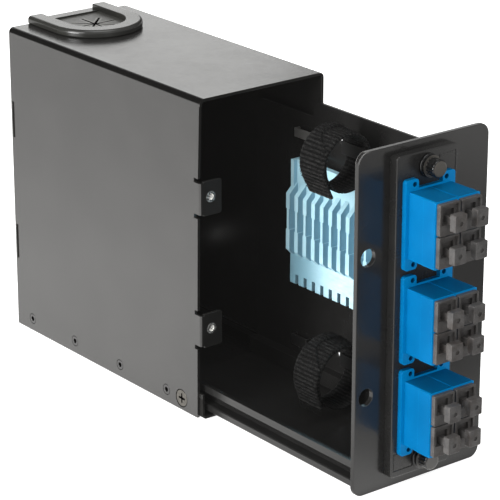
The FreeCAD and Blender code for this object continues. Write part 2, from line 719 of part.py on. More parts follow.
def drawer_bezel():
    """Front plate with a window behind the adapter panel."""
    body = new_body("drawer_bezel")
    left, right = near(dims.bezel_left), near(dims.bezel_left + dims.bezel_width)
    low, high = dims.bezel_low, dims.bezel_low + dims.bezel_height
    half_wide, half_tall = 12.6, 54.5
    through = dims.bezel_th + 2
    pad(body, "plate", "X", BEZEL_BACK, dims.bezel_th, loops=[
        rounded_rect(left, low, right, high, dims.bezel_corner)])
    cut(body, "window", "X", BEZEL_BACK - 1, through, loops=[
        rounded_rect(PANEL_Y - half_wide, PANEL_Z - half_tall,
                     PANEL_Y + half_wide, PANEL_Z + half_tall, 1.5)])
    cut(body, "holes", "X", BEZEL_BACK - 1, through, circles=[
        (near(dims.lock_hole_in), z, dims.lock_hole)
        for z in (dims.lock_hole_upper, dims.lock_hole_lower)] +
        [(PANEL_Y, z, 2.9) for z in PLUNGERS])
    fillet(body, "rim", 0.35, rim_edges(BEZEL_FACE, left, right, low, high))
    return body


# ---------------------------------------------------------------- splice holder
SPLICE_X = front(-5.9)
SPLICE_REACH = dims.fin_pitch * (dims.fin_count - 1)
SPLICE_LENGTH = SPLICE_REACH + 2.4
SPLICE_BACK = 55.4                         # depth of its back, in from the near side
# Sections: depth in from the near side, z before the lift.
BACK = [(52.9, 60.5), (52.9, 100.0), (SPLICE_BACK, 100.0), (SPLICE_BACK, 50.7),
        (50.9, 50.7), (50.9, 59.3)]
FIN = [(53.1, 90.4), (52.9, 90.4), (48.5, 85.9), (48.5, 61.6), (50.9, 59.2), (53.1, 59.2)]
GRIP_TOP = [(53.1, 90.4), (52.9, 90.4), (48.5, 85.9), (48.5, 79.4), (53.1, 79.4)]
GRIP_LOW = [(48.5, 70.4), (48.5, 61.6), (50.9, 59.2), (53.1, 59.2), (53.1, 70.4)]
END_POST = [(53.1, 100.0), (51.0, 100.0), (51.0, 88.4), (53.1, 88.4)]


def splice_holder():
    """Comb of fins, each with thicker grips above and below and a tooth under it."""
    body = new_body("splice_holder")
    lift = dims.comb_lift

    def section(name, x, length, points):
        return pad(body, name, "X", x, length, loops=[
            [(near(depth), lift + z) for depth, z in points]])

    section("back", SPLICE_X, SPLICE_LENGTH, BACK)
    tooth = pad(body, "tooth", "X", SPLICE_X, 3.3, loops=[
        rounded_rect(near(50.9), lift + 46.2, near(SPLICE_BACK), lift + 51.2, 0.6)])
    fin = section("fin", SPLICE_X + 0.5, dims.fin_thin, FIN)
    grip_top = section("grip_top", SPLICE_X, dims.fin_thick, GRIP_TOP)
    grip_low = section("grip_low", SPLICE_X, dims.fin_thick, GRIP_LOW)
    doc.recompute()
    pattern = body.newObject("PartDesign::LinearPattern", "row_of_fins")
    pattern.Originals = [tooth, fin, grip_top, grip_low]
    pattern.Direction = (origin_item(body, "X_Axis"), [""])
    bind(pattern, "Length", SPLICE_REACH)
    pattern.Occurrences = int(dims.fin_count.value)
    body.Tip = pattern
    section("end_post", SPLICE_X, 1.8, END_POST)
    return body


def splice_holder_pads():
    """Two pads between the splice holder and the tray's far wall."""
    low, high = dims.comb_lift + 56, dims.comb_lift + 96
    end = SPLICE_X + SPLICE_LENGTH
    return group("splice_holder_pads", [
        box(name, x0, near(SPLICE_BACK), low, x1, TRAY_WALL, high)
        for name, x0, x1 in (("padA", SPLICE_X + 4, SPLICE_X + 18),
                             ("padB", end - 18, end - 4))])


# ---------------------------------------------------------------- straps
def strap(name, ahead, depth, z, radius):
    """Round loop with its axis along X."""
    body = new_body(name)
    pad(body, "loop", "X", front(ahead), dims.strap_width, circles=[
        (near(depth), z, radius), (near(depth), z, radius - dims.strap_th)])
    return body


def strap_bridges():
    """Four U-shaped bridges standing on the tray's far wall."""
    places = [      # rear and front x, depth in from the near side, low and high z
        (24.2, 42.4, 52.2, 110.2, 115.6), (-10.6, -0.8, 56.4, 107.9, 111.7),
        (22.3, 40.5, 54.4, 17.5, 22.9), (-11.4, -1.7, 56.4, 15.8, 20.6)]
    thick = 0.8
    bridges = []
    for i, (x0, x1, depth, z0, z1) in enumerate(places):
        name = "brg%d" % i
        outer = box(name + "o", front(x0), near(depth), z0, front(x1), TRAY_WALL, z1)
        inner = box(name + "c", front(x0 + thick), near(depth + thick), z0 - 1,
                    front(x1 - thick), TRAY_WALL + 1, z1 + 1)
        bridges.append(minus(name, outer, inner))
    return group("strap_bridges", bridges)


# ---------------------------------------------------------------- adapter panel
def adapter_plate():
    """Shallow pan, open to the rear, with one opening for each pair of adapters."""
    body = new_body("adapter_plate")
    left, right, low, high = PANEL_LEFT, PANEL_RIGHT, dims.panel_low, PANEL_TOP
    wall = 1.2
    back, through = BEZEL_FACE - 1, 8
    pad(body, "pan", "X", BEZEL_FACE, dims.panel_proud, loops=[
        rounded_rect(left, low, right, high, 1.5)])
    cut(body, "hollow", "X", back, dims.panel_proud - dims.panel_th + 1, loops=[
        rounded_rect(left + wall, low + wall, right - wall, high - wall, 0.5)])
    half_wide, half_tall = dims.adp_thick + 0.15, dims.adp_body / 2 + 0.1
    cut(body, "openings", "X", back, through, loops=[
        rect(PANEL_Y - half_wide, z - half_tall, PANEL_Y + half_wide, z + half_tall)
        for _, z in reversed(ROWS)])
    cut(body, "plunger_holes", "X", back, through, circles=[(PANEL_Y, z, 2.6) for z in PLUNGERS])
    line = 0.6
    frames = [(left + 20.5, high - 12.0, right - 0.9, high - 2.4),
              (left + 1.0, low + 2.6, left + 11.0, low + 10.2)]
    cut(body, "label_frames", "X", PANEL_FACE - 0.3, 1, loops=[
        rect(y0 + inset, z0 + inset, y1 - inset, z1 - inset)
        for y0, z0, y1, z1 in frames for inset in (0, line)])
    fillet(body, "rim", 0.5, rim_edges(PANEL_FACE, left, right, low, high))
    return body


def adapter(row_name, column, y, z):
    """Duplex adapter built about the centre of its seat on the panel, outer side
    towards +Y; the left-hand one is the same moulding turned half a turn about X."""
    body = new_body("adapter_%s_%s" % (row_name, column))
    half, half_tall = ADAPTER_HALF, dims.adp_body / 2
    ear_in, ear_out = half - 4.7, half + 1.5
    pad(body, "ear", "X", 0, dims.flange_th, loops=[
        rounded_rect(ear_in, -dims.adp_flange / 2, ear_out, dims.adp_flange / 2, 1.4)])
    pad(body, "inner_flange", "X", 0, dims.flange_th, loops=[
        rect(-half, -14.0, ear_in + 2, 14.0)])
    shell = [rounded_rect(-half, -half_tall, half, half_tall, 0.5)]
    pad(body, "front", "X", 0, dims.adp_front, loops=shell)
    pad(body, "rear", "X", -dims.adp_back, dims.adp_back + 0.5, loops=shell)
    collar = 6.6
    pad(body, "collar", "X", dims.adp_front - collar, collar, loops=[
        rect(half - 0.6, 0.3 - half_tall, half + 0.32, half_tall - 0.3)])
    wide, tall = dims.port_wide / 2, dims.port_tall / 2
    centres = (-1 * PORT_RISE, 1 * PORT_RISE)
    behind = -dims.adp_back - 1
    ports = [rect(-wide, c - tall, wide, c + tall) for c in centres]
    cut(body, "ports_front", "X", 2.5, dims.adp_front, loops=ports)
    cut(body, "ports_rear", "X", behind, dims.adp_back + 0.5, loops=ports)
    keys = [rect(wide - 0.2, c - 1.3, wide + 0.9, c + 1.3) for c in centres]
    cut(body, "keys_front", "X", 4.5, dims.adp_front, loops=keys)
    cut(body, "keys_rear", "X", behind, dims.adp_back - 1.5, loops=keys)
    pad(body, "sleeve_posts", "X", -5.2, 12.6, circles=[(0, c, 2.35) for c in centres])
    cut(body, "sleeve_bores", "X", -6, 15, circles=[
        (0, c, dims.sleeve_rad + 0.02) for c in centres])
    cut(body, "ear_holes", "X", -1, 4, circles=[(ear_in + 1.9, c, 1.0) for c in (-15.7, 15.7)])
    turn = Rotation(Vector(1, 0, 0), 180 if column == "left" else 0)
    bind_place(body, PANEL_FACE, y, z, turn)
    return body


def alignment_sleeves():
    """One tube on the axis of each port."""
    sleeves = []
    for row_name, z in ROWS:
        for column, y in COLUMNS:
            for sign in (-1, 1):
                name = "slv_%s%d%d" % (row_name, column == "left", sign + 1)
                port_z = z + sign * PORT_RISE
                tube = cylinder(name + "o", "X", PANEL_FACE - 4.6, y, port_z, 11.4,
                                dims.sleeve_rad)
                bore = cylinder(name + "c", "X", PANEL_FACE - 6, y, port_z, 15,
                                dims.sleeve_bore)
                sleeves.append(minus(name, tube, bore))
    return group("alignment_sleeves", sleeves)


def adapter_clips():
    """Spring clips behind the panel, one on each adapter's outer side."""
    thick, half_tall = 0.55, 3.0
    out = dims.adp_thick + ADAPTER_GAP
    clips = []
    for row_name, z in ROWS:
        for is_left, y in ((1, PANEL_Y - out - thick), (0, PANEL_Y + out)):
            clips.append(box("clp_%s%d" % (row_name, is_left),
                             BEZEL_FACE - 3.4, y, z - half_tall,
                             PANEL_FACE - dims.panel_th - 0.05, y + thick, z + half_tall))
    return group("adapter_clips", clips)


# ---------------------------------------------------------------- push-pull plungers
def plunger_sleeves():
    """Flanged tubes through the panel and bezel."""
    tail = 4.5
    sleeves = []
    for i, z in enumerate(PLUNGERS):
        name = "psl%d" % i
        flange = cylinder(name + "f", "X", PANEL_FACE, PANEL_Y, z, 1.3, 4.6)
        tube = cylinder(name + "t", "X", BEZEL_BACK - tail, PANEL_Y, z,
                        PANEL_FACE - BEZEL_BACK + tail, 2.6)
        bore = cylinder(name + "b", "X", BEZEL_BACK - 6, PANEL_Y, z, 20, 1.65)
        sleeves.append(minus(name, fuse(name + "u", [flange, tube]), bore))
    return group("plunger_sleeves", sleeves)


def plunger(name, z):
    """Pin with a skirt and a knurled knob, built from the panel's face."""
    body = new_body(name)
    tail = dims.panel_proud + dims.bezel_th + 4.0
    knob_start, knob_length = 2.5, 4.6
    pad(body, "pin", "X", -tail, tail + 1.6, circles=[(0, 0, 1.6)])
    pad(body, "skirt", "X", 1.4, 1.2, circles=[(0, 0, 4.3)])
    pad(body, "knob", "X", knob_start, knob_length, circles=[(0, 0, 3.5)])
    fillet(body, "crown", 0.9, edges_at(x=knob_start + knob_length))
    nick = cut(body, "nick", "X", 2.9, 5.0, circles=[(3.75, 0, 0.42)])
    polar_pattern(body, "knurl", nick, "X_Axis", 16)
    bind_place(body, PANEL_FACE, PANEL_Y, z)
    return body


# ---------------------------------------------------------------- dust caps
def dust_cap(name, y, z):
    """Plug with a recessed flange and a pull head, built from the port's mouth."""
    body = new_body(name)
    head_x, head_length = 5.0, 3.0
    head_face = head_x + head_length
    pad(body, "plug", "X", -9.0, 9.2, loops=[rect(-3.55, -4.35, 3.55, 4.35)])
    pad(body, "flange", "X", 0.05, 1.9, loops=[rounded_rect(-4.95, -6.15, 4.95, 6.15, 0.5)])
    cut(body, "well", "X", -0.4, 4.0, loops=[rounded_rect(-2.75, -1.6, 2.75, 3.6, 0.3)])
    cut(body, "well_mouth", "X", 0.9, 3.0, loops=[rounded_rect(-4.1, -1.9, 4.1, 5.3, 0.4)])
    cut(body, "plug_bore", "X", -10.0, 5.5, circles=[(0, 0, 2.0)])
    pad(body, "stem", "X", -3.8, 9.8, loops=[rect(-1.2, -1.7, 1.2, 1.2)])
    pad(body, "head", "X", head_x, head_length, loops=[
        rounded_rect(-2.9, -3.5, 2.9, 3.3, 0.5)])
    cut(body, "dimple", "X", 7.4, 1.2, circles=[(0, -0.3, 1.0)])
    # the face's straight edges; the dimple's rim is 2.0 wide and is left sharp
    fillet(body, "head_edges", 0.35, lambda edge: edges_at("Z", x=head_face)(edge) or (
        edges_at(x=head_face)(edge) and edge.BoundBox.YLength > 2.1))
    bind_place(body, PANEL_FACE + dims.adp_front, y, z)
    return body


# ---------------------------------------------------------------- build and write
parts = [
    housing_cover(), base_panel(), rear_panel(),
    rail_rivets(), side_screws(), lock_inserts(),
    guide_rail("rail_near", side=0, foot_depth=3.4),
    guide_rail("rail_far", side=1, foot_depth=2.7),
    cable_entry_frame(), cable_entry_membrane(),
    din_rail_clip(), din_latch(), din_clip_screws(),
    drawer_tray(), drawer_bezel(), splice_holder(), splice_holder_pads(),
    strap("strap_upper", ahead=25.8, depth=42.3, z=112.1, radius=dims.strap_rad),
    strap("strap_lower", ahead=23.9, depth=43.0, z=20.3, radius=dims.strap_rad + 1.5),
    strap_bridges(), adapter_plate()]
parts += [adapter(row_name, column, y, z) for row_name, z in ROWS for column, y in COLUMNS]
parts += [alignment_sleeves(), adapter_clips(), plunger_sleeves(),
          plunger("plunger_top", PLUNGERS[0]), plunger("plunger_bottom", PLUNGERS[1])]
parts += [dust_cap("cap_%s_%s_%s" % (row_name, level, column), y, z + sign * PORT_RISE)
          for row_name, z in ROWS for column, y in COLUMNS
          for level, sign in (("upper", 1), ("lower", -1))]

doc.recompute()
for obj in doc.Objects:
    if "Invalid" in obj.State or "Error" in obj.State:
        raise RuntimeError("%s is %s" % (obj.Name, obj.State))
os.makedirs("parts", exist_ok=True)
for part in parts:
    shape = part.Shape
    if shape.isNull() or not shape.isValid() or not shape.Solids:
        raise RuntimeError("%s has a bad shape" % part.Label)
    shape.exportStep(os.path.join("parts", part.Label + ".step"))
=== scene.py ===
"""Fibre termination box with its drawer: finishes on the CAD pieces, and two woven straps.

Metres, +Z up. The drawer's bezel faces +X. The camera looks from +X and -Y, so -Y is the
near side and +Y the far side. The CAD pieces keep their meshes and get materials and soft
edges; the two hook-and-loop straps are built here in place of their CAD stand-ins.
"""
import json
import math
import random
import bpy
import bmesh
from mathutils import Vector, Matrix, noise


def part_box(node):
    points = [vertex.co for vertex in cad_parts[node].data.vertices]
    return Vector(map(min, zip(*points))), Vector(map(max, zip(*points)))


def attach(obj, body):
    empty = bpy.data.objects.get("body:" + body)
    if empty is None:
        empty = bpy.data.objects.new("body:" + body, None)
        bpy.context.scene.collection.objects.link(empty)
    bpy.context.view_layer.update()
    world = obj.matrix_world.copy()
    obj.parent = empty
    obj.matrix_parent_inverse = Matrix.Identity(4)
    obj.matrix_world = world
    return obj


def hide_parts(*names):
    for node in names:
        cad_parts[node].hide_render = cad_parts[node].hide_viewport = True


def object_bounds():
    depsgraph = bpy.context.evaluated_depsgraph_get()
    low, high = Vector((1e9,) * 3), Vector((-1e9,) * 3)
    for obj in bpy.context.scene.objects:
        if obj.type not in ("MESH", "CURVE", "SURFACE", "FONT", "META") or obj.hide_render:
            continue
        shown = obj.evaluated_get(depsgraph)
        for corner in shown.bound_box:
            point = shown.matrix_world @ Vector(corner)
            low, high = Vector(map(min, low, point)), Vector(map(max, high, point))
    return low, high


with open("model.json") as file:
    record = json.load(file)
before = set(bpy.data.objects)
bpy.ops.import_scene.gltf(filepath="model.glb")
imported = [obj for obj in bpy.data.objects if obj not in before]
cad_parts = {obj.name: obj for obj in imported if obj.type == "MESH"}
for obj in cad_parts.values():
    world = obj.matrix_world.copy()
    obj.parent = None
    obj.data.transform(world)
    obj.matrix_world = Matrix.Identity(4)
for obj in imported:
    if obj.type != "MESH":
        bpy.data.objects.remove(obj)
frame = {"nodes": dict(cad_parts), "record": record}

BOX0 = [list(v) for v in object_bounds()]
NODES = frame["nodes"]
MM = 0.001
RIB_PITCH = 1.75 * MM            # spacing of the straps' cross ribs
WARM_WHITE = (1.0, 0.98, 0.95, 1.0)
PAINT_LIFT = 0.0042              # faint emission that keeps black paint off pure black
PLASTIC_LIFT = 0.0035            # the same for black plastic
scene = bpy.context.scene
MATERIALS = {}


# ------------------------------------------------------------------ shader building
class Field:
    """A value in a shader. Arithmetic and comparison on it add Math nodes."""

    def __init__(self, mat, socket):
        self.mat = mat
        self.socket = socket

    def __add__(self, other):
        return self.mat.math("ADD", self, other)

    def __sub__(self, other):
        return self.mat.math("SUBTRACT", self, other)

    def __rsub__(self, other):
        return self.mat.math("SUBTRACT", other, self)

    def __mul__(self, other):
        return self.mat.math("MULTIPLY", self, other)

    def __gt__(self, other):
        return self.mat.math("GREATER_THAN", self, other)

    def __lt__(self, other):
        return self.mat.math("LESS_THAN", self, other)

    def __abs__(self):
        return self.mat.math("ABSOLUTE", self)


class Shader:
    """One procedural material round a Principled node, stored in MATERIALS by its name."""

    INPUTS = {
        "base": "Base Color", "rough": "Roughness", "metal": "Metallic", "ior": "IOR",
        "coat": "Coat Weight", "coat_rough": "Coat Roughness", "sheen": "Sheen Weight",
        "sheen_rough": "Sheen Roughness", "sheen_tint": "Sheen Tint",
        "sss": "Subsurface Weight", "sss_radius": "Subsurface Radius",
        "sss_scale": "Subsurface Scale", "spec": "Specular IOR Level", "normal": "Normal",
        "emit": "Emission Color", "emit_power": "Emission Strength"}

    def __init__(self, name):
        material = bpy.data.materials.new(name)
        material.use_nodes = True
        self.tree = material.node_tree
        self.tree.nodes.clear()
        self.output = self.node("ShaderNodeOutputMaterial")
        self.principled = self.node("ShaderNodeBsdfPrincipled")
        self.surface = Field(self, self.principled.outputs[0])
        self.put(self.output.inputs[0], self.surface)
        self.coords = self.field("ShaderNodeTexCoord", "Object")
        MATERIALS[name] = material

    def put(self, socket, value):
        if isinstance(value, Field):
            self.tree.links.new(value.socket, socket)
        else:
            socket.default_value = value

    def node(self, kind, inputs=None, **settings):
        node = self.tree.nodes.new(kind)
        for key, value in settings.items():
            setattr(node, key, value)
        for key, value in (inputs or {}).items():
            self.put(node.inputs[key], value)
        return node

    def field(self, kind, output, inputs=None, **settings):
        return Field(self, self.node(kind, inputs, **settings).outputs[output])

    def set(self, **values):
        for key, value in values.items():
            self.put(self.principled.inputs[self.INPUTS[key]], value)

    def noise(self, scale, detail=3.0, rough=0.55, stretch=None):
        vector = self.coords
        if stretch:
            vector = self.field("ShaderNodeMapping", 0, {"Vector": vector, "Scale": stretch})
        return self.field("ShaderNodeTexNoise", "Fac", {
            "Scale": scale, "Detail": detail, "Roughness": rough, "Vector": vector})

    def cells(self, scale):
        return self.field("ShaderNodeTexVoronoi", "Distance",
                          {"Scale": scale, "Vector": self.coords})

    def bands(self, scale):
        """Sine bands along X."""
        return self.field("ShaderNodeTexWave", "Fac", {"Scale": scale, "Vector": self.coords})

    def linear(self, value, start, end, low, high, curve="LINEAR"):
        """Maps start..end to low..high, clamped."""
        return self.field("ShaderNodeMapRange", 0, {
            "Value": value, "From Min": start, "From Max": end,
            "To Min": low, "To Max": high}, interpolation_type=curve)

    def rise(self, value, start, end, low=0.0, high=1.0):
        return self.linear(value, start, end, low, high, "SMOOTHSTEP")

    def fade(self, value, start, end, high=1.0, low=0.0):
        return self.linear(value, start, end, high, low, "SMOOTHSTEP")

    def math(self, operation, a, b=0.0):
        return self.field("ShaderNodeMath", 0, {0: a, 1: b}, operation=operation)

    def mix(self, color, to, by, blend="MIX"):
        color, to = ((*c[:3], 1.0) if isinstance(c, tuple) else c for c in (color, to))
        return self.field("ShaderNodeMix", 2, {0: by, 6: color, 7: to},
                          data_type="RGBA", blend_type=blend)

    def bump(self, height, depth, strength):
        self.set(normal=self.field("ShaderNodeBump", 0, {
            "Strength": strength, "Distance": depth, "Height": height}))

    def normal(self):
        return self.field("ShaderNodeNewGeometry", "Normal")

    def xyz(self, vector=None):
        split = self.node("ShaderNodeSeparateXYZ", {0: vector or self.coords})
        return [Field(self, socket) for socket in split.outputs]

    def edge(self, radius, start=0.02, end=0.25):
        """1 along outer edges, 0 on flats."""
        rounded = self.field("ShaderNodeBevel", 0, {"Radius": radius}, samples=4)
        match = self.field("ShaderNodeVectorMath", "Value", {0: rounded, 1: self.normal()},
                           operation="DOT_PRODUCT")
        return self.rise(1.0 - match, start=start, end=end)


def srgb(*channels):
    """8-bit sRGB to linear RGBA."""
    def linear(c):
        c /= 255.0
        return c / 12.92 if c <= 0.04045 else ((c + 0.055) / 1.055) ** 2.4
    return (*map(linear, channels), 1.0)


def scaled(color, factor):
    return tuple(c * factor for c in color[:3])


# ------------------------------------------------------------------ black paints
def paint(name, base, ior, edge_wear_highlight_tone, rough=0.19, peel=0.00005, dust=0.06, smudge=0.05,
          lift=PAINT_LIFT):
    """Baked black paint: orange peel, pigment grain, smudges and dust. Returns shader, colour."""
    mat = Shader(name)
    big = mat.noise(scale=38.0, rough=0.6)
    mid = mat.noise(scale=420.0)
    fine = mat.noise(scale=2600.0, detail=2.0, rough=0.6)
    speck = mat.fade(mat.cells(scale=520.0), start=0.0, end=0.10)
    speck = speck * mat.rise(mat.noise(scale=150.0, detail=2.0), start=0.56, end=0.66)
    lighter = tuple(min(1.0, c * 1.28 + 0.0015) for c in base)
    color = mat.mix(base, to=lighter, by=mat.rise(big, start=0.35, end=0.7))
    color = mat.mix(color, to=scaled(base, 0.55), by=fine * 0.25)
    color = mat.mix(color, to=(0.32, 0.31, 0.29), by=speck * dust)
    # lighter edges: partly edge wear, partly a painted highlight along them
    wear_and_highlight = mat.linear(mid, start=0.35, end=0.6, low=0.15, high=0.8)
    color = mat.mix(color, to=edge_wear_highlight_tone, by=mat.edge(radius=0.00035) * wear_and_highlight)
    gloss = mat.linear(big, start=0.3, end=0.7, low=rough - smudge * 0.5, high=rough + smudge)
    gloss = gloss + mat.linear(mid, start=0.3, end=0.7, low=-0.015, high=0.02)
    mat.set(base=color, rough=gloss, ior=ior, coat=0.0, coat_rough=0.06,
            emit=WARM_WHITE, emit_power=lift)
    height = mat.noise(scale=900.0, detail=2.0, rough=0.5) * 1.0 + fine * 0.22
    mat.bump(height, depth=peel, strength=0.55)
    return mat, color


def housing_paint():
    mat, color = paint("housing_paint", base=(0.0155, 0.0150, 0.0143), ior=1.62,
                       edge_wear_highlight_tone=(0.075, 0.073, 0.07))
    # less gloss on faces towards +X between two planes
    facing = mat.rise(mat.xyz(mat.normal())[0], start=0.80, end=0.95)
    x = mat.xyz()[0]
    level = 0.5 - facing * ((x > 0.0655) * (x < 0.0688)) * 0.48
    # no gloss on the floors of the sunk seats round the side fasteners
    facing = mat.rise(abs(mat.xyz(mat.normal())[1]), start=0.80, end=0.95)
    y = abs(mat.xyz()[1])
    low = mat.xyz()[2] < 0.0085
    seat = facing * low * ((y < 0.03135) * (y > 0.0297))
    level = level * (1.0 - seat)
    # the long bends mirror the unlit side of the room: painted shade darkens their colour and
    # holds their gloss down
    normal = mat.xyz(mat.normal())
    bend = (mat.rise(abs(normal[1]), start=0.05, end=0.22)
            * mat.rise(normal[2], start=0.05, end=0.22))
    mat.set(base=mat.mix(color, to=(0.0012, 0.0012, 0.0011), by=bend * 0.75),
            spec=level * (1.0 - bend * 0.86))


def rear_paint():
    mat, _ = paint("rear_paint", base=(0.0155, 0.0150, 0.0143), ior=1.62,
                   edge_wear_highlight_tone=(0.05, 0.05, 0.048))
    # the tab ends, down in their slots, stay in shade
    facing = mat.rise(abs(mat.xyz(mat.normal())[1]), start=0.80, end=0.95)
    outer = abs(mat.xyz()[1]) > 0.0285
    mat.set(spec=0.5 - facing * outer * 0.5)


def tray_paint():
    mat, _ = paint("tray_paint", base=(0.0105, 0.0103, 0.0100), ior=1.54, peel=0.00004,
                   edge_wear_highlight_tone=(0.05, 0.05, 0.05), dust=0.05, lift=0.0050)
    # duller on far-side faces that look towards -Y
    facing = mat.fade(mat.xyz(mat.normal())[1], start=-0.95, end=-0.80)
    level = 0.5 - facing * (mat.xyz()[1] > 0.0) * 0.30
    # and dull on the low near edge, towards its -X end
    x, y, z = mat.xyz()
    dull = (z < 0.0145) * (y < -0.010) * mat.fade(x, start=0.0725, end=0.0835, high=0.92)
    mat.set(spec=level * (1.0 - dull))


def far_glow(mat):
    """Paint lift, stronger on the far upper part, which catches more of the room."""
    x, y, z = mat.xyz()
    extra = (mat.rise(y, start=-0.006, end=0.022, high=0.013)
             * mat.rise(z, start=0.085, end=0.125, low=0.2))
    return extra + PAINT_LIFT


def bezel_paint():
    low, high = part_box("drawer_bezel")
    corner_highlight_radius = 0.0062
    mat, _ = paint("bezel_paint", base=(0.0130, 0.0126, 0.0123), ior=1.47, rough=0.20,
                   peel=0.00004, edge_wear_highlight_tone=(0.20, 0.196, 0.19), dust=0.07)
    lift = far_glow(mat)
    # painted highlight: emission on the rim round the near upper corner
    x, y, z = mat.xyz()
    dy = y - low.y
    dz = z - high.z
    distance = mat.math("SQRT", dy * dy + dz * dz)
    near = mat.fade(distance, start=corner_highlight_radius * 0.35, end=corner_highlight_radius)
    glow = mat.edge(radius=0.00045, start=0.01, end=0.12) * near * 0.75
    mat.set(emit_power=glow + lift)


def panel_paint():
    mat, _ = paint("panel_paint", base=(0.0140, 0.0137, 0.0133), ior=1.47, rough=0.26,
                   edge_wear_highlight_tone=(0.11, 0.108, 0.104), smudge=0.06)
    mat.set(emit_power=far_glow(mat))


# ------------------------------------------------------------------ plastics and rubber
def drift_and_grain(mat):
    """Slow colour drift and moulded grain."""
    return mat.noise(scale=60.0, rough=0.5), mat.noise(scale=1700.0, rough=0.6)


def grained_rough(mat, slow, fine, low, high):
    return mat.linear(slow, start=0.3, end=0.7, low=low, high=high) + fine * 0.05


def plastic(name, base, rough, tint=None, bump=0.00003, ior=1.46, wear_and_highlight=None, coat=0.0,
            lift=PLASTIC_LIFT, spec=0.5):
    """Moulded plastic: spark-eroded grain, slow colour drift, edges optionally lightened by wear
    and a painted highlight.
    """
    mat = Shader(name)
    slow, fine = drift_and_grain(mat)
    tint = tint or tuple(min(1.0, c * 1.25) for c in base[:3])
    color = mat.mix(base, to=tint, by=mat.rise(slow, start=0.3, end=0.7))
    color = mat.mix(color, to=scaled(base, 0.6), by=fine * 0.14)
    if wear_and_highlight:
        # lighter edges: wear and a painted highlight
        color = mat.mix(color, to=wear_and_highlight, by=mat.edge(radius=0.0003) * 0.55)
    mat.set(base=color, rough=grained_rough(mat, slow, fine, low=rough - 0.03, high=rough + 0.05),
            ior=ior, coat=coat, coat_rough=0.15, emit=WARM_WHITE, emit_power=lift, spec=spec)
    height = fine + mat.noise(scale=1700.0 * 3.1, detail=2.0) * 0.4
    mat.bump(height, depth=bump, strength=0.6)


def adapter_blue():
    """Blue adapter body: deep colour, painted light (emission) on faces towards +X and painted
    shade on the tops.
    """
    mat = Shader("adapter_blue")
    slow, fine = drift_and_grain(mat)
    normal = mat.normal()
    front = mat.rise(mat.xyz(normal)[0], start=0.70, end=0.93)
    top = mat.rise(mat.xyz(normal)[2], start=0.75, end=0.95)
    color = mat.mix(srgb(0, 100, 155), to=srgb(0, 109, 167),
                    by=mat.rise(slow, start=0.3, end=0.7))
    # painted shade: tops darker
    color = mat.mix(color, to=srgb(2, 92, 138), by=top)
    color = mat.mix(color, to=srgb(0, 74, 118), by=fine * 0.14)
    # painted highlight along the edges
    color = mat.mix(color, to=srgb(0, 156, 222), by=mat.edge(radius=0.0003) * 0.55)
    # faces towards +X glow: painted light
    mat.set(base=color, ior=1.25, spec=0.25,
            sss=0.05, sss_radius=(0.0002, 0.0007, 0.0016), sss_scale=1.0,
            rough=grained_rough(mat, slow, fine, low=0.33, high=0.41),
            emit=srgb(2, 118, 178), emit_power=front * 0.42)
    mat.bump(fine, depth=0.00002, strength=0.6)


def cap_black():
    """Dark grey cap plastic, unevenly worn and slightly cloudy."""
    mat = Shader("cap_black")
    slow = mat.noise(scale=240.0, rough=0.6)
    fine = mat.noise(scale=1900.0, rough=0.65)
    warm = mat.noise(scale=70.0, detail=2.0, rough=0.5)
    color = mat.mix(srgb(66, 61, 58), to=srgb(66, 65, 65),
                    by=mat.rise(warm, start=0.4, end=0.6))
    color = mat.mix(color, to=srgb(85, 83, 82), by=mat.rise(slow, start=0.35, end=0.68))
    color = mat.mix(color, to=srgb(40, 38, 37), by=mat.rise(fine, start=0.45, end=0.75, high=0.5))
    # painted highlight along the edges
    color = mat.mix(color, to=srgb(118, 116, 113), by=mat.edge(radius=0.0003) * 0.6)
    mat.set(base=color, ior=1.46, emit=WARM_WHITE, emit_power=PLASTIC_LIFT,
            rough=mat.linear(fine, start=0.3, end=0.7, low=0.34, high=0.50))
    mat.bump(fine, depth=0.00004, strength=0.6)


def entry_rubber():
    """Rubber leaves about an eight-ray star: painted shade in the cuts, painted highlights on the
    lips beside them, one cut painted open in black.
    """
    mat = Shader("entry_rubber")
    x, y, z = mat.xyz()
    dx = x + 0.0469              # from the star's centre at (-0.0469, -0.0010)
    dy = y + 0.0010
    radius = mat.math("SQRT", dx * dx + dy * dy)
    inside = mat.fade(radius, start=0.0098, end=0.0106)
    near = None                  # distance to the nearest of four lines through the centre
    for k in range(4):
        angle = math.pi * k / 4
        distance = abs(dx * math.sin(angle) - dy * math.cos(angle))
        near = distance if near is None else mat.math("MINIMUM", near, distance)
    # painted shade in the cuts
    cut = mat.fade(near, start=0.00030, end=0.00062) * inside
    # painted highlight on the lips beside the cuts
    lip_highlight = (mat.rise(near, start=0.0006, end=0.0008)
           * mat.fade(near, start=0.0010, end=0.0016) * inside)
    # painted shade of an open cut along one diagonal
    along = dy * 0.7071 - dx * 0.7071
    side = abs(dy * 0.7071 + dx * 0.7071)
    open_slit_shade = (mat.rise(along, start=-0.0022, end=-0.0012)
            * mat.fade(along, start=0.0048, end=0.0070)
            * mat.fade(side, start=0.0004, end=0.0009))
    dark = mat.math("MAXIMUM", cut, open_slit_shade)
    grain = mat.noise(scale=1100.0, rough=0.6)
    color = mat.mix(srgb(56, 56, 53), to=srgb(68, 68, 65),
                    by=mat.linear(grain, start=0.3, end=0.7, low=0.0, high=1.0))
    color = mat.mix(color, to=srgb(128, 128, 122), by=lip_highlight * 0.65)
    color = mat.mix(color, to=(0.003, 0.003, 0.003), by=dark)
    mat.set(base=color, ior=1.46,
            rough=mat.linear(grain, start=0.3, end=0.7, low=0.36, high=0.46),
            spec=mat.linear(dark, start=0.0, end=1.0, low=0.55, high=0.0),
            emit=(1.0, 0.99, 0.95, 1.0), emit_power=(1.0 - dark) * 0.0045)
    mat.bump(grain, depth=0.00006, strength=0.6)


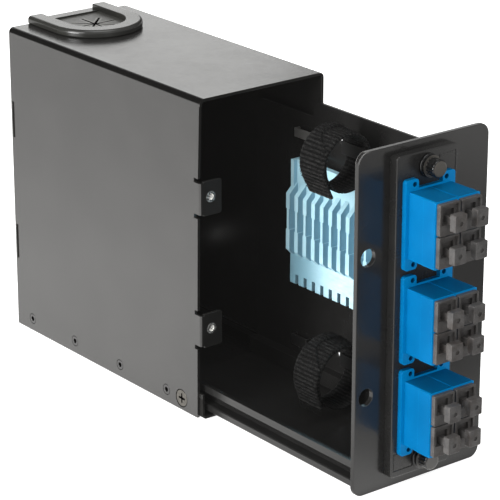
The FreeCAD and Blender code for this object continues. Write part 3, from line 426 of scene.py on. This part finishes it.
def bridge_paint():
    """Strap bridges: painted light makes them pale high up and to -X; elsewhere dark, with a
    painted highlight along the edge.
    """
    mat = Shader("bridge_paint")
    x, y, z = mat.xyz()
    grain = mat.noise(scale=1200.0, rough=0.6)
    # painted light: pale high up and towards -X, where the upper bridge is
    pale = mat.rise(z, start=0.06, end=0.09) * mat.fade(x, start=0.070, end=0.080)
    color = mat.mix((0.012, 0.012, 0.012), to=(0.085, 0.083, 0.079), by=pale)
    color = mat.mix(color, to=(0.02, 0.02, 0.02), by=grain * 0.35)
    # painted highlight along the edge, stronger towards -X
    wear_and_highlight = mat.linear(x, start=0.070, end=0.080, low=0.8, high=0.15)
    color = mat.mix(color, to=(0.42, 0.41, 0.40), by=mat.edge(radius=0.0003) * wear_and_highlight)
    mat.set(base=color, rough=0.34, ior=1.5, emit=WARM_WHITE, emit_power=PLASTIC_LIFT)
    mat.bump(grain, depth=0.00004, strength=0.5)


def plunger_knob():
    """Pull knobs: polished black sides, a matt brown-grey front face."""
    mat = Shader("plunger_knob")
    front = mat.rise(mat.xyz(mat.normal())[0], start=0.75, end=0.92)
    grain = mat.noise(scale=1500.0, rough=0.6)
    # painted light: the lower knob's face is painted paler than the upper one's
    lower = mat.xyz()[2] < 0.07  # the lower knob is paler
    face = mat.mix(mat.mix(srgb(62, 58, 53), to=srgb(80, 78, 75), by=lower),
                   to=mat.mix(srgb(86, 82, 75), to=srgb(98, 96, 93), by=lower), by=grain)
    color = mat.mix((0.004, 0.004, 0.004), to=face, by=front)
    # painted highlight along the edges
    color = mat.mix(color, to=(0.20, 0.195, 0.19), by=mat.edge(radius=0.00025) * 0.5)
    mat.set(base=color, ior=1.5, coat=0.15, coat_rough=0.05, spec=0.40,
            rough=mat.linear(front, start=0.0, end=1.0, low=0.08, high=0.34))
    mat.bump(grain, depth=0.00002, strength=0.5)


def splice_plastic():
    """Pale blue holder. Painted light: emission on faces towards -Y, and a painted glare low on
    them and on the smooth apron; painted shade on the flanks and on the apron towards -X.
    """
    mat = Shader("splice_plastic")
    slow, fine = drift_and_grain(mat)
    normal = mat.xyz(mat.normal())
    near = mat.fade(normal[1], start=-0.95, end=-0.55)
    shaded_flank = mat.rise(abs(normal[0]), start=0.55, end=0.9)
    color = mat.mix(srgb(162, 205, 219), to=srgb(174, 214, 227),
                    by=mat.rise(slow, start=0.3, end=0.7))
    # painted shade on the flanks, faces towards ±X
    color = mat.mix(color, to=srgb(140, 180, 198), by=shaded_flank)
    color = mat.mix(color, to=srgb(120, 165, 182), by=fine * 0.14)
    # painted highlight along the edges
    color = mat.mix(color, to=srgb(206, 236, 244), by=mat.edge(radius=0.00030) * 0.35)
    x, y, z = mat.xyz()
    apron = near * mat.fade(z, start=0.0600, end=0.0625)
    # painted shade on the apron, stronger towards -X
    color = mat.mix(color, to=srgb(122, 166, 184),
                    by=apron * mat.fade(x, start=0.066, end=0.094, high=0.80))
    # a streaky glare low on the near faces, towards +X
    glare_x = mat.rise(x, start=0.073, end=0.095)
    glare_z = (mat.rise(z, start=0.0680, end=0.0600)
               * mat.rise(z, start=0.0440, end=0.0500, low=0.35))
    streak = mat.linear(mat.noise(scale=420.0, rough=0.6, stretch=(0.35, 1.0, 1.0)),
                        start=0.3, end=0.7, low=0.55, high=1.15)
    glare = glare_x * glare_z * (near * streak)
    lit = glare * 0.46 + near * (1.0 - apron) * 0.045
    mat.set(base=color, rough=grained_rough(mat, slow, fine, low=0.26, high=0.34), ior=1.46,
            sss=0.05, sss_radius=(0.0008, 0.0016, 0.0020), sss_scale=1.0,
            coat=0.1, coat_rough=0.15, emit=(0.86, 0.97, 1.0, 1.0), emit_power=lit + 0.002)
    mat.bump(fine, depth=0.000015, strength=0.6)


# ------------------------------------------------------------------ metals
def fastener(name, node, face, rough, metallic):
    """Fastener heads in their finish; all between the two outermost Y faces is painted dark, as
    shade.
    """
    mat = Shader(name)
    low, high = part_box(node)
    skin = 0.00022               # depth of the finished layer at either Y end
    y = mat.xyz()[1]
    deep = (y > low.y + skin) * (y < high.y - skin)
    grain = mat.noise(scale=1300.0, rough=0.65)
    scratch = mat.noise(scale=900.0, detail=4.0, rough=0.7, stretch=(1.0, 4.0, 1.0))
    color = mat.mix(face, to=scaled(face, 0.6), by=mat.rise(grain, start=0.4, end=0.7, high=0.7))
    # painted shade: all below the outer faces is near black
    color = mat.mix(color, to=(0.0015, 0.0015, 0.0014), by=deep)
    live = 1.0 - deep
    mat.set(base=color, metal=live * metallic, spec=live * 0.5, ior=1.62,
            rough=mat.linear(scratch, start=0.3, end=0.7, low=rough - 0.05, high=rough + 0.08),
            emit=WARM_WHITE, emit_power=0.003)
    mat.bump(scratch, depth=0.00002, strength=0.5)


def zinc_insert():
    """Zinc inserts with their front faces sprayed over: bright only in the threaded bore, where
    glints are painted in.
    """
    mat = Shader("zinc_insert")
    facing = abs(mat.xyz(mat.normal())[0])
    worn = mat.rise(mat.noise(scale=1400.0, rough=0.7), start=0.42, end=0.62, high=0.5)
    sprayed = mat.rise(facing, start=0.55, end=0.85) * (1.0 - worn)
    thread = mat.bands(scale=620.0)
    # painted glints: emission on the bore walls
    glint = mat.rise(mat.noise(scale=1900.0, detail=2.0, rough=0.7),
                     start=0.46, end=0.58, low=0.05, high=0.75)
    spark = (1.0 - mat.rise(facing, start=0.2, end=0.55)) * glint
    mat.set(base=mat.mix((0.92, 0.91, 0.88), to=(0.02, 0.02, 0.019), by=sprayed),
            metal=1.0 - sprayed,
            rough=mat.linear(thread, start=0.0, end=1.0, low=0.12, high=0.22),
            emit=(1.0, 0.99, 0.96, 1.0), emit_power=spark * 0.5 + 0.003)
    mat.bump(thread, depth=0.00012, strength=0.8)


def steel(name, base, rough, brushed):
    """Bare steel with fine scratches, stretched by brushed, and slight tarnish."""
    mat = Shader(name)
    slow = mat.noise(scale=300.0, rough=0.6)
    scratch = mat.noise(scale=900.0, detail=4.0, rough=0.7, stretch=brushed)
    gloss = mat.linear(scratch, start=0.3, end=0.7, low=rough - 0.06, high=rough + 0.10)
    mat.set(base=mat.mix(base, to=(0.35, 0.33, 0.30),
                         by=mat.rise(slow, start=0.45, end=0.75, high=0.6)),
            metal=1.0, rough=gloss + 0.0)
    mat.bump(scratch, depth=0.00002, strength=0.5)


# ------------------------------------------------------------------ foam and fabric
def foam_tape():
    mat = Shader("foam_tape")
    cell = mat.cells(scale=2400.0)
    color = mat.mix((0.42, 0.41, 0.38), to=(0.74, 0.73, 0.70),
                    by=mat.rise(cell, start=0.0, end=0.5))
    mat.set(base=color, rough=0.85)
    mat.bump(cell, depth=0.00025, strength=0.8)


def strap_fabric():
    """Woven hook-and-loop: warp and weft, painted glints on broken filaments, painted shade
    between the ribs.
    """
    mat = Shader("strap_fabric")
    across, along, _ = mat.xyz(mat.field("ShaderNodeUVMap", 0, uv_map="UVMap"))
    warp = mat.math("SINE", across * (2 * math.pi / 0.00042))
    weft = mat.math("SINE", along * (2 * math.pi / 0.00050))
    weave = warp * weft
    nap = mat.noise(scale=2600.0, detail=4.0, rough=0.75, stretch=(0.45, 1.0, 1.0))
    lump = mat.noise(scale=700.0, rough=0.6)
    color = mat.mix((0.004, 0.004, 0.004), to=(0.044, 0.0433, 0.042),
                    by=mat.rise(nap, start=0.40, end=0.72))
    color = mat.mix(color, to=(0.022, 0.0215, 0.021),
                    by=mat.linear(weave, start=-0.2, end=1.0, low=0.0, high=0.25))
    # painted glints on broken filaments
    glint = (mat.rise(mat.noise(scale=4200.0, detail=2.0, rough=0.7), start=0.66, end=0.78)
             * mat.rise(lump, start=0.42, end=0.62))
    color = mat.mix(color, to=(0.22, 0.215, 0.21), by=glint * 0.5)
    # ribs wander a little; painted shade takes the valleys to near black
    wander = (mat.noise(scale=820.0, detail=2.0, rough=0.6) - 0.5) * 5.0
    turn = along * (2 * math.pi / RIB_PITCH) + wander
    rib = mat.math("COSINE", turn) * 0.5 + 0.5
    color = mat.mix(color, to=(0.0006, 0.0006, 0.0006),
                    by=mat.fade(rib, start=0.22, end=0.86, high=0.97))
    tuft = mat.linear(mat.noise(scale=1150.0, detail=2.0, rough=0.65, stretch=(0.55, 1.0, 1.0)),
                      start=0.34, end=0.64, low=0.30, high=1.75)
    gain = mat.mix((0.0, 0.0, 0.0), to=(2.0, 2.0, 2.0), by=tuft * 0.5)
    color = mat.mix(color, to=gain, by=1.0, blend="MULTIPLY")
    mat.set(base=color, rough=0.74, spec=0.13, emit=WARM_WHITE, emit_power=0.0026,
            sheen=0.07, sheen_rough=0.4, sheen_tint=(0.75, 0.75, 0.75, 1.0))
    mat.bump(weave * 0.35 + (nap + lump * 0.6), depth=0.00022, strength=0.9)


# ------------------------------------------------------------------ materials
housing_paint()
rear_paint()
tray_paint()
bezel_paint()
panel_paint()
adapter_blue()
cap_black()
plastic("entry_plastic", srgb(38, 38, 36), rough=0.17, tint=srgb(46, 46, 43),
        wear_and_highlight=srgb(84, 84, 80), ior=1.52)
entry_rubber()
bridge_paint()
plastic("rail_plastic", srgb(30, 30, 30), rough=0.40, bump=0.00004)
fastener("black_rivet", "rail_rivets", face=(0.016, 0.016, 0.016), rough=0.20, metallic=0.0)
fastener("zinc_screw", "side_screws", face=(0.135, 0.128, 0.115), rough=0.28, metallic=1.0)
zinc_insert()
steel("clip_steel", (0.56, 0.56, 0.55), rough=0.30, brushed=(1.0, 0.12, 5.0))
steel("spring_steel", (0.60, 0.60, 0.58), rough=0.26, brushed=(1.0, 5.0, 0.2))
plastic("latch_plastic", srgb(38, 38, 39), rough=0.42, wear_and_highlight=srgb(80, 80, 80))
plunger_knob()
plastic("plunger_plastic", srgb(8, 8, 9), rough=0.07, tint=srgb(14, 14, 15),
        wear_and_highlight=srgb(34, 34, 35), ior=1.54, coat=0.25, bump=0.00001, spec=0.30, lift=0.002)
splice_plastic()
plastic("ceramic", srgb(236, 236, 230), rough=0.12, tint=srgb(244, 243, 238),
        bump=0.000004, ior=1.9)
foam_tape()
strap_fabric()

# material of each CAD piece: its recorded slot, save for these
SLOT = {part["node"]: part["material_slot"] for part in frame["record"]["subparts"]}
SLOT.update({"plunger_top": "plunger_knob", "plunger_bottom": "plunger_knob",
             "strap_bridges": "bridge_paint", "rear_panel": "rear_paint"})


# ------------------------------------------------------------------ CAD pieces
# piece: (width of its softened edges in mm, segments)
BEVEL = {
    "housing_cover": (0.14, 2), "base_panel": (0.12, 2), "rear_panel": (0.12, 2),
    "rail_rivets": (0.10, 2), "side_screws": (0.10, 2), "lock_inserts": (0.14, 2),
    "rail_near": (0.2, 2), "rail_far": (0.2, 2), "cable_entry_frame": (0.2, 2),
    "cable_entry_membrane": (0.12, 2), "din_rail_clip": (0.14, 2), "din_latch": (0.2, 2),
    "din_clip_screws": (0.1, 2), "drawer_tray": (0.12, 2), "drawer_bezel": (0.10, 2),
    "splice_holder": (0.16, 2), "splice_holder_pads": (0.15, 2), "strap_bridges": (0.15, 2),
    "adapter_plate": (0.10, 2), "alignment_sleeves": (0.06, 1), "adapter_clips": (0.06, 1),
    "plunger_sleeves": (0.45, 3), "plunger_top": (0.10, 2), "plunger_bottom": (0.10, 2),
}
ADAPTER_BEVEL = (0.16, 2)
CAP_BEVEL = (0.14, 2)


def bevel_of(name):
    if name.startswith("cap_"):
        return CAP_BEVEL
    if name.startswith("adapter_"):
        return BEVEL.get(name, ADAPTER_BEVEL)
    return BEVEL[name]


def dress(name):
    """Gives a CAD piece its material, merged flats and soft, evenly shaded edges."""
    piece = NODES[name]
    mesh = piece.data
    if "custom_normal" in mesh.attributes:
        mesh.attributes.remove(mesh.attributes["custom_normal"])
    for polygon in mesh.polygons:
        polygon.use_smooth = True
    mesh.materials.clear()
    mesh.materials.append(MATERIALS[SLOT[name]])

    weld = piece.modifiers.new("weld", "WELD")
    weld.merge_threshold = 2e-6
    flats = piece.modifiers.new("flats", "DECIMATE")
    flats.decimate_type = "DISSOLVE"
    flats.angle_limit = math.radians(0.4)
    width, segments = bevel_of(name)
    bevel = piece.modifiers.new("soft_edges", "BEVEL")
    bevel.width = width * MM
    bevel.segments = segments
    bevel.limit_method = "ANGLE"
    bevel.angle_limit = math.radians(34.0)
    bevel.miter_outer = "MITER_ARC"
    bevel.use_clamp_overlap = True
    bevel.harden_normals = False
    shading = piece.modifiers.new("even_shading", "WEIGHTED_NORMAL")
    shading.mode = "FACE_AREA"
    shading.weight = 50
    shading.keep_sharp = False


for name in NODES:
    if name not in ("strap_upper", "strap_lower"):
        dress(name)


def mesh_object(name, bm, material):
    mesh = bpy.data.meshes.new(name)
    bm.normal_update()
    bm.to_mesh(mesh)
    bm.free()
    for polygon in mesh.polygons:
        polygon.use_smooth = True
    mesh.materials.append(MATERIALS[material])
    made = bpy.data.objects.new(name, mesh)
    scene.collection.objects.link(made)
    return made


# ------------------------------------------------------------------ hook-and-loop straps
THICKNESS = 0.82 * MM
BAND_STEP = RIB_PITCH / 6
BAND_COLUMNS = 20
EDGE_UV = 0.8 * MM               # UV width given to the cut edges
INNER_INSET = 1.28 * MM          # layer radii, below the outline of the CAD strap
OUTER_INSET = 0.46 * MM
FILAMENTS = 5200


class Strap:
    """Mesh of a ribbed tie wound about an X axis; angles run in degrees from +Y to +Z."""

    def __init__(self, node, seed):
        low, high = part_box(node)
        self.x_low, self.x_high = low.x, high.x
        self.center_y = (low.y + high.y) / 2
        self.center_z = (low.z + high.z) / 2
        self.radius = (high.z - low.z) / 2
        self.seed = seed
        self.bm = bmesh.new()
        self.uv = self.bm.loops.layers.uv.new("UVMap")

    def point(self, x, angle, radius):
        turn = math.radians(angle)
        return Vector((x, self.center_y + radius * math.cos(turn),
                       self.center_z + radius * math.sin(turn)))

    def face(self, verts, uvs):
        for loop, uv in zip(self.bm.faces.new(verts).loops, uvs):
            loop[self.uv].uv = uv

    def noise(self, x, along, scale_x, scale_along, offset=0):
        return noise.noise(Vector((x * scale_x, along * scale_along, self.seed + offset)))

    def section(self, angle, along, radius, left, right, rib_height, phase):
        """Top and bottom vertices of one cut across the band."""
        rib = (0.5 + 0.5 * math.cos(2 * math.pi * (along / RIB_PITCH + phase))) ** 0.85
        top, bottom = [], []
        for j in range(BAND_COLUMNS + 1):
            t = j / BAND_COLUMNS
            x = left + (right - left) * t
            fall = min(1.0, min(t, 1 - t) * (right - left) / MM / 0.7)
            wobble = self.noise(x, along, 420, 420) * 0.16 * MM
            fuzz = self.noise(x, along, 2600, 2600, offset=7) * 0.10 * MM
            uneven = 0.85 + 0.3 * self.noise(x, along, 900, 500, offset=3)
            rise = (THICKNESS * 0.30 + fuzz
                    + rib_height * 0.62 * MM * rib * (0.6 + 0.4 * fall) * uneven)
            outer = radius + rise * (0.45 + 0.55 * math.sqrt(fall)) + wobble
            inner = radius - THICKNESS * 0.42 + wobble
            top.append(self.bm.verts.new(self.point(x, angle, outer)))
            bottom.append(self.bm.verts.new(self.point(x, angle, inner)))
        return top, bottom

    def band(self, start, end, radius_at, left, right_at, ribs_at, phase):
        """Sweeps a closed band from one angle to another."""
        count = max(8, int(math.radians(end - start) * self.radius / BAND_STEP))
        sections = []
        for i in range(count + 1):
            angle = start + (end - start) * i / count
            along = math.radians(angle - start) * self.radius
            top, bottom = self.section(angle, along, radius_at(angle), left, right_at(angle),
                                       ribs_at(angle), phase)
            sections.append((along + phase * RIB_PITCH, top, bottom))
        last = BAND_COLUMNS
        w = (self.x_high - self.x_low) / BAND_COLUMNS
        for (s0, t0, b0), (s1, t1, b1) in zip(sections, sections[1:]):
            for j in range(BAND_COLUMNS):
                u = [(j * w, s0), ((j + 1) * w, s0), ((j + 1) * w, s1), (j * w, s1)]
                self.face((t0[j], t0[j + 1], t1[j + 1], t1[j]), u)
                self.face((b0[j + 1], b0[j], b1[j], b1[j + 1]), [u[1], u[0], u[3], u[2]])
            self.face((t0[0], t1[0], b1[0], b0[0]),
                      [(0, s0), (0, s1), (EDGE_UV, s1), (EDGE_UV, s0)])
            self.face((t1[last], t0[last], b0[last], b1[last]),
                      [(0, s1), (0, s0), (EDGE_UV, s0), (EDGE_UV, s1)])
        for order, (_, top, bottom) in ((1, sections[0]), (-1, sections[-1])):
            for j in range(BAND_COLUMNS):
                verts = (top[j], bottom[j], bottom[j + 1], top[j + 1])
                self.face(verts[::order], [(j * w, 0), (j * w, EDGE_UV),
                                           ((j + 1) * w, EDGE_UV), ((j + 1) * w, 0)])

    def filament(self, rnd, outer_radius_at, outer_right_at, inner_radius):
        """One bent filament standing on whichever layer is outermost there."""
        angle = rnd.uniform(60.0, 232.0)
        turn = math.radians(angle)
        x = rnd.uniform(self.x_low + 0.3 * MM, self.x_high - 0.4 * MM)
        radius = outer_radius_at(angle)
        if x > outer_right_at(angle) - 0.2 * MM:
            radius = inner_radius
        height = rnd.uniform(0.25, 0.62) * MM
        lean = rnd.uniform(-0.5, 0.5) * MM
        lean_x = rnd.uniform(-0.35, 0.35) * MM
        half_width = rnd.uniform(0.035, 0.06) * MM
        outward = Vector((0, math.cos(turn), math.sin(turn)))
        tangent = Vector((0, -math.sin(turn), math.cos(turn)))
        axial = Vector((1, 0, 0))
        root = self.point(x, angle, radius + THICKNESS * 0.42 + 0.12 * MM)
        side = (tangent if rnd.random() < 0.5 else axial) * half_width
        knee = root + outward * height + tangent * lean * 0.3 + axial * lean_x * 0.4
        tip = (root + outward * (height * rnd.uniform(0.5, 1.0))
               + tangent * lean + axial * lean_x)
        pairs = [(self.bm.verts.new(p - side), self.bm.verts.new(p + side))
                 for p in (root, knee, tip)]
        s = turn * self.radius
        uvs = ((x, s), (x + half_width, s), (x + half_width, s + height), (x, s + height))
        for k in range(2):
            self.face((pairs[k][0], pairs[k][1], pairs[k + 1][1], pairs[k + 1][0]), uvs)


def build_strap(name, node, seed, tail, lift):
    """Inner layer, outer layer and nap. The outer layer's free end, at angle tail, stands
    off by lift (mm) low on the -Y side."""
    strap = Strap(node, seed)
    inner_radius = strap.radius - INNER_INSET

    def outer_radius(angle):
        k = max(0.0, (angle - 205.0) / (tail - 205.0))
        return strap.radius - OUTER_INSET + lift * MM * k * k

    def outer_right(angle):
        """+X edge: set back 9.6 mm up to 112 degrees, easing out to 0.15 mm at 158."""
        k = min(1.0, max(0.0, (angle - 112) / 46.0))
        return strap.x_high - 0.15 * MM - 9.45 * MM * (1 - k * k * (3 - 2 * k))

    strap.band(start=-150.0, end=212.0,
               radius_at=lambda a: inner_radius - 0.10 * MM * math.sin(math.radians(a * 2)),
               left=strap.x_low + 0.3 * MM, right_at=lambda a: strap.x_high - 0.05 * MM,
               ribs_at=lambda a: 0.9 if 20 < a < 175 else 0.45, phase=0.0)
    strap.band(start=18.0, end=tail, radius_at=outer_radius,
               left=strap.x_low + 0.05 * MM, right_at=outer_right,
               ribs_at=lambda a: 1.0, phase=0.45)
    rnd = random.Random(seed)
    for _ in range(FILAMENTS):
        strap.filament(rnd, outer_radius, outer_right, inner_radius)
    woven = mesh_object(name, strap.bm, "strap_fabric")
    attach(woven, "drawer")
    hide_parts(node)


build_strap("strap_upper_woven", "strap_upper", seed=3, tail=238.0, lift=2.3)
build_strap("strap_lower_woven", "strap_lower", seed=11, tail=222.0, lift=1.2)


# ------------------------------------------------------------------ floor
FLOOR_CELLS = 24
FLOOR_SIZE = 9.0
FLOOR_GAP = 0.0002               # below the lowest CAD point


def floor_paper():
    """White paper; glossy rays see a painted pattern of lit and shaded floor instead."""
    mat = Shader("floor_paper")
    drift = mat.noise(scale=5.0)
    color = mat.mix((0.90, 0.90, 0.895), to=(0.93, 0.93, 0.925),
                    by=mat.linear(drift, start=0.3, end=0.7, low=0.0, high=1.0))
    mat.set(base=color, rough=0.8, spec=0.15)
    mat.bump(mat.noise(scale=900.0), depth=0.00003, strength=0.4)

    # lit beside the near side, shaded past the bezel, with a lit strip in front of it
    x, y, z = mat.xyz()
    away = y * -0.8 + x * -0.6
    lit = mat.rise(away, start=-0.17, end=0.06, low=0.36, high=1.95)
    lit = lit + mat.fade(away, start=-0.54, end=-0.42, high=0.75)
    falloff = (mat.fade(away, start=0.03, end=0.42, low=0.72)
               * mat.rise(away, start=0.055, end=0.15, low=0.90))
    strip = (mat.rise(x, start=0.27, end=0.17, high=1.12)
             * mat.fade(y, start=-0.014, end=0.008, low=0.72)
             * mat.linear(x, start=0.160, end=0.166, low=0.0, high=1.0))
    mirrored = mat.field("ShaderNodeEmission", 0, {
        "Color": (1.0, 0.992, 0.975, 1), "Strength": (lit + strip) * falloff})

    rays = mat.node("ShaderNodeLightPath").outputs
    to_camera = Field(mat, rays["Is Camera Ray"])
    glossy = Field(mat, rays["Is Glossy Ray"])
    whitening = mat.field("ShaderNodeEmission", 0, {"Strength": to_camera * 0.85})
    seen = mat.field("ShaderNodeAddShader", 0, {0: mat.surface, 1: whitening})
    mat.put(mat.output.inputs[0],
            mat.field("ShaderNodeMixShader", 0, {0: glossy, 1: seen, 2: mirrored}))


def build_floor():
    bm = bmesh.new()
    z = BOX0[0][2] - FLOOR_GAP
    ticks = [(i / FLOOR_CELLS - 0.5) * FLOOR_SIZE for i in range(FLOOR_CELLS + 1)]
    grid = [[bm.verts.new((x, y, z)) for y in ticks] for x in ticks]
    for i in range(FLOOR_CELLS):
        for j in range(FLOOR_CELLS):
            bm.faces.new((grid[i][j], grid[i + 1][j], grid[i + 1][j + 1], grid[i][j + 1]))
    floor_paper()
    mesh_object("studio_floor", bm, "floor_paper")


build_floor()


# ------------------------------------------------------------------ lights
CENTER = (0.04, 0.0, 0.07)
# name, location, target, width, height, radiance, colour
SOFTBOXES = (
    ("back_softbox", (-1.56, 0.78, 0.74), CENTER, 0.96, 1.0, 1.62, (1.0, 1.0, 0.985)),
    ("key_softbox", (0.16, -1.55, 0.85), CENTER, 1.0, 0.9, 6.0, (1.0, 0.995, 0.98)),
    ("low_softbox", (-0.02, -0.95, 0.18), (0.11, 0.0, 0.05), 0.42, 0.3, 17.0, (1.0, 1.0, 1.0)),
    ("top_softbox", (0.45, -0.05, 1.7), CENTER, 1.2, 1.2, 2.1, (1.0, 1.0, 1.0)),
    ("front_softbox", (1.7, -0.1, 0.75), CENTER, 0.7, 0.7, 0.9, (0.98, 0.99, 1.0)),
    ("rim_softbox", (-1.24, 1.30, 0.74), CENTER, 0.26, 0.5, 1.0, (1.0, 1.0, 0.99)),
)


def softbox(name, location, target, width, height, radiance, color):
    light = bpy.data.lights.new(name, "AREA")
    light.shape = "RECTANGLE"
    light.size, light.size_y = width, height
    light.energy = radiance * math.pi * width * height
    light.color = color
    lamp = bpy.data.objects.new(name, light)
    lamp.location = location
    lamp.rotation_mode = "QUATERNION"
    aim = Vector(target) - Vector(location)
    lamp.rotation_quaternion = aim.to_track_quat("-Z", "Y")
    scene.collection.objects.link(lamp)


for row in SOFTBOXES:
    softbox(*row)


# ------------------------------------------------------------------ world
SKY_AXIS = (0.72, -0.10, 0.68)   # towards the lighter part: overhead and to +X
SKY_RAMP = {"From Min": -0.25, "From Max": 0.75, "To Min": 0.08, "To Max": 0.55}


def build_world():
    """A dim room, lighter along SKY_AXIS."""
    world = bpy.data.worlds.new("studio")
    scene.world = world
    world.use_nodes = True
    nodes, links = world.node_tree.nodes, world.node_tree.links
    nodes.clear()
    output = nodes.new("ShaderNodeOutputWorld")
    background = nodes.new("ShaderNodeBackground")
    coords = nodes.new("ShaderNodeTexCoord")
    dot = nodes.new("ShaderNodeVectorMath")
    dot.operation = "DOT_PRODUCT"
    dot.inputs[1].default_value = SKY_AXIS
    ramp = nodes.new("ShaderNodeMapRange")
    ramp.interpolation_type = "SMOOTHSTEP"
    for key, value in SKY_RAMP.items():
        ramp.inputs[key].default_value = value
    background.inputs["Color"].default_value = (1.0, 1.0, 1.0, 1)
    links.new(coords.outputs["Generated"], dot.inputs[0])
    links.new(dot.outputs["Value"], ramp.inputs["Value"])
    links.new(ramp.outputs[0], background.inputs["Strength"])
    links.new(background.outputs[0], output.inputs[0])


build_world()


# ------------------------------------------------------------------ camera
CAMERA_PLACE = (0.8113, -0.5908, 0.4174)
AZIMUTH = math.radians(38.173)   # from +X towards -Y
ELEVATION = math.radians(20.261)
ROLL = math.radians(0.017)


def build_camera():
    data = bpy.data.cameras.new("camera")
    camera = bpy.data.objects.new("camera", data)
    scene.collection.objects.link(camera)
    forward = Vector((-math.cos(AZIMUTH) * math.cos(ELEVATION),
                      math.sin(AZIMUTH) * math.cos(ELEVATION), -math.sin(ELEVATION)))
    level = forward.cross(Vector((0, 0, 1))).normalized()
    upright = level.cross(forward)
    right = level * math.cos(ROLL) + upright * math.sin(ROLL)
    up = -level * math.sin(ROLL) + upright * math.cos(ROLL)
    rows = zip(right, up, -forward, CAMERA_PLACE)
    camera.matrix_world = Matrix((*rows, (0, 0, 0, 1)))
    data.sensor_width = 36.0
    data.lens = 179.29
    data.clip_start, data.clip_end = 0.01, 50.0
    scene.camera = camera


build_camera()
scene.view_settings.view_transform = "Standard"
scene.view_settings.look = "None"
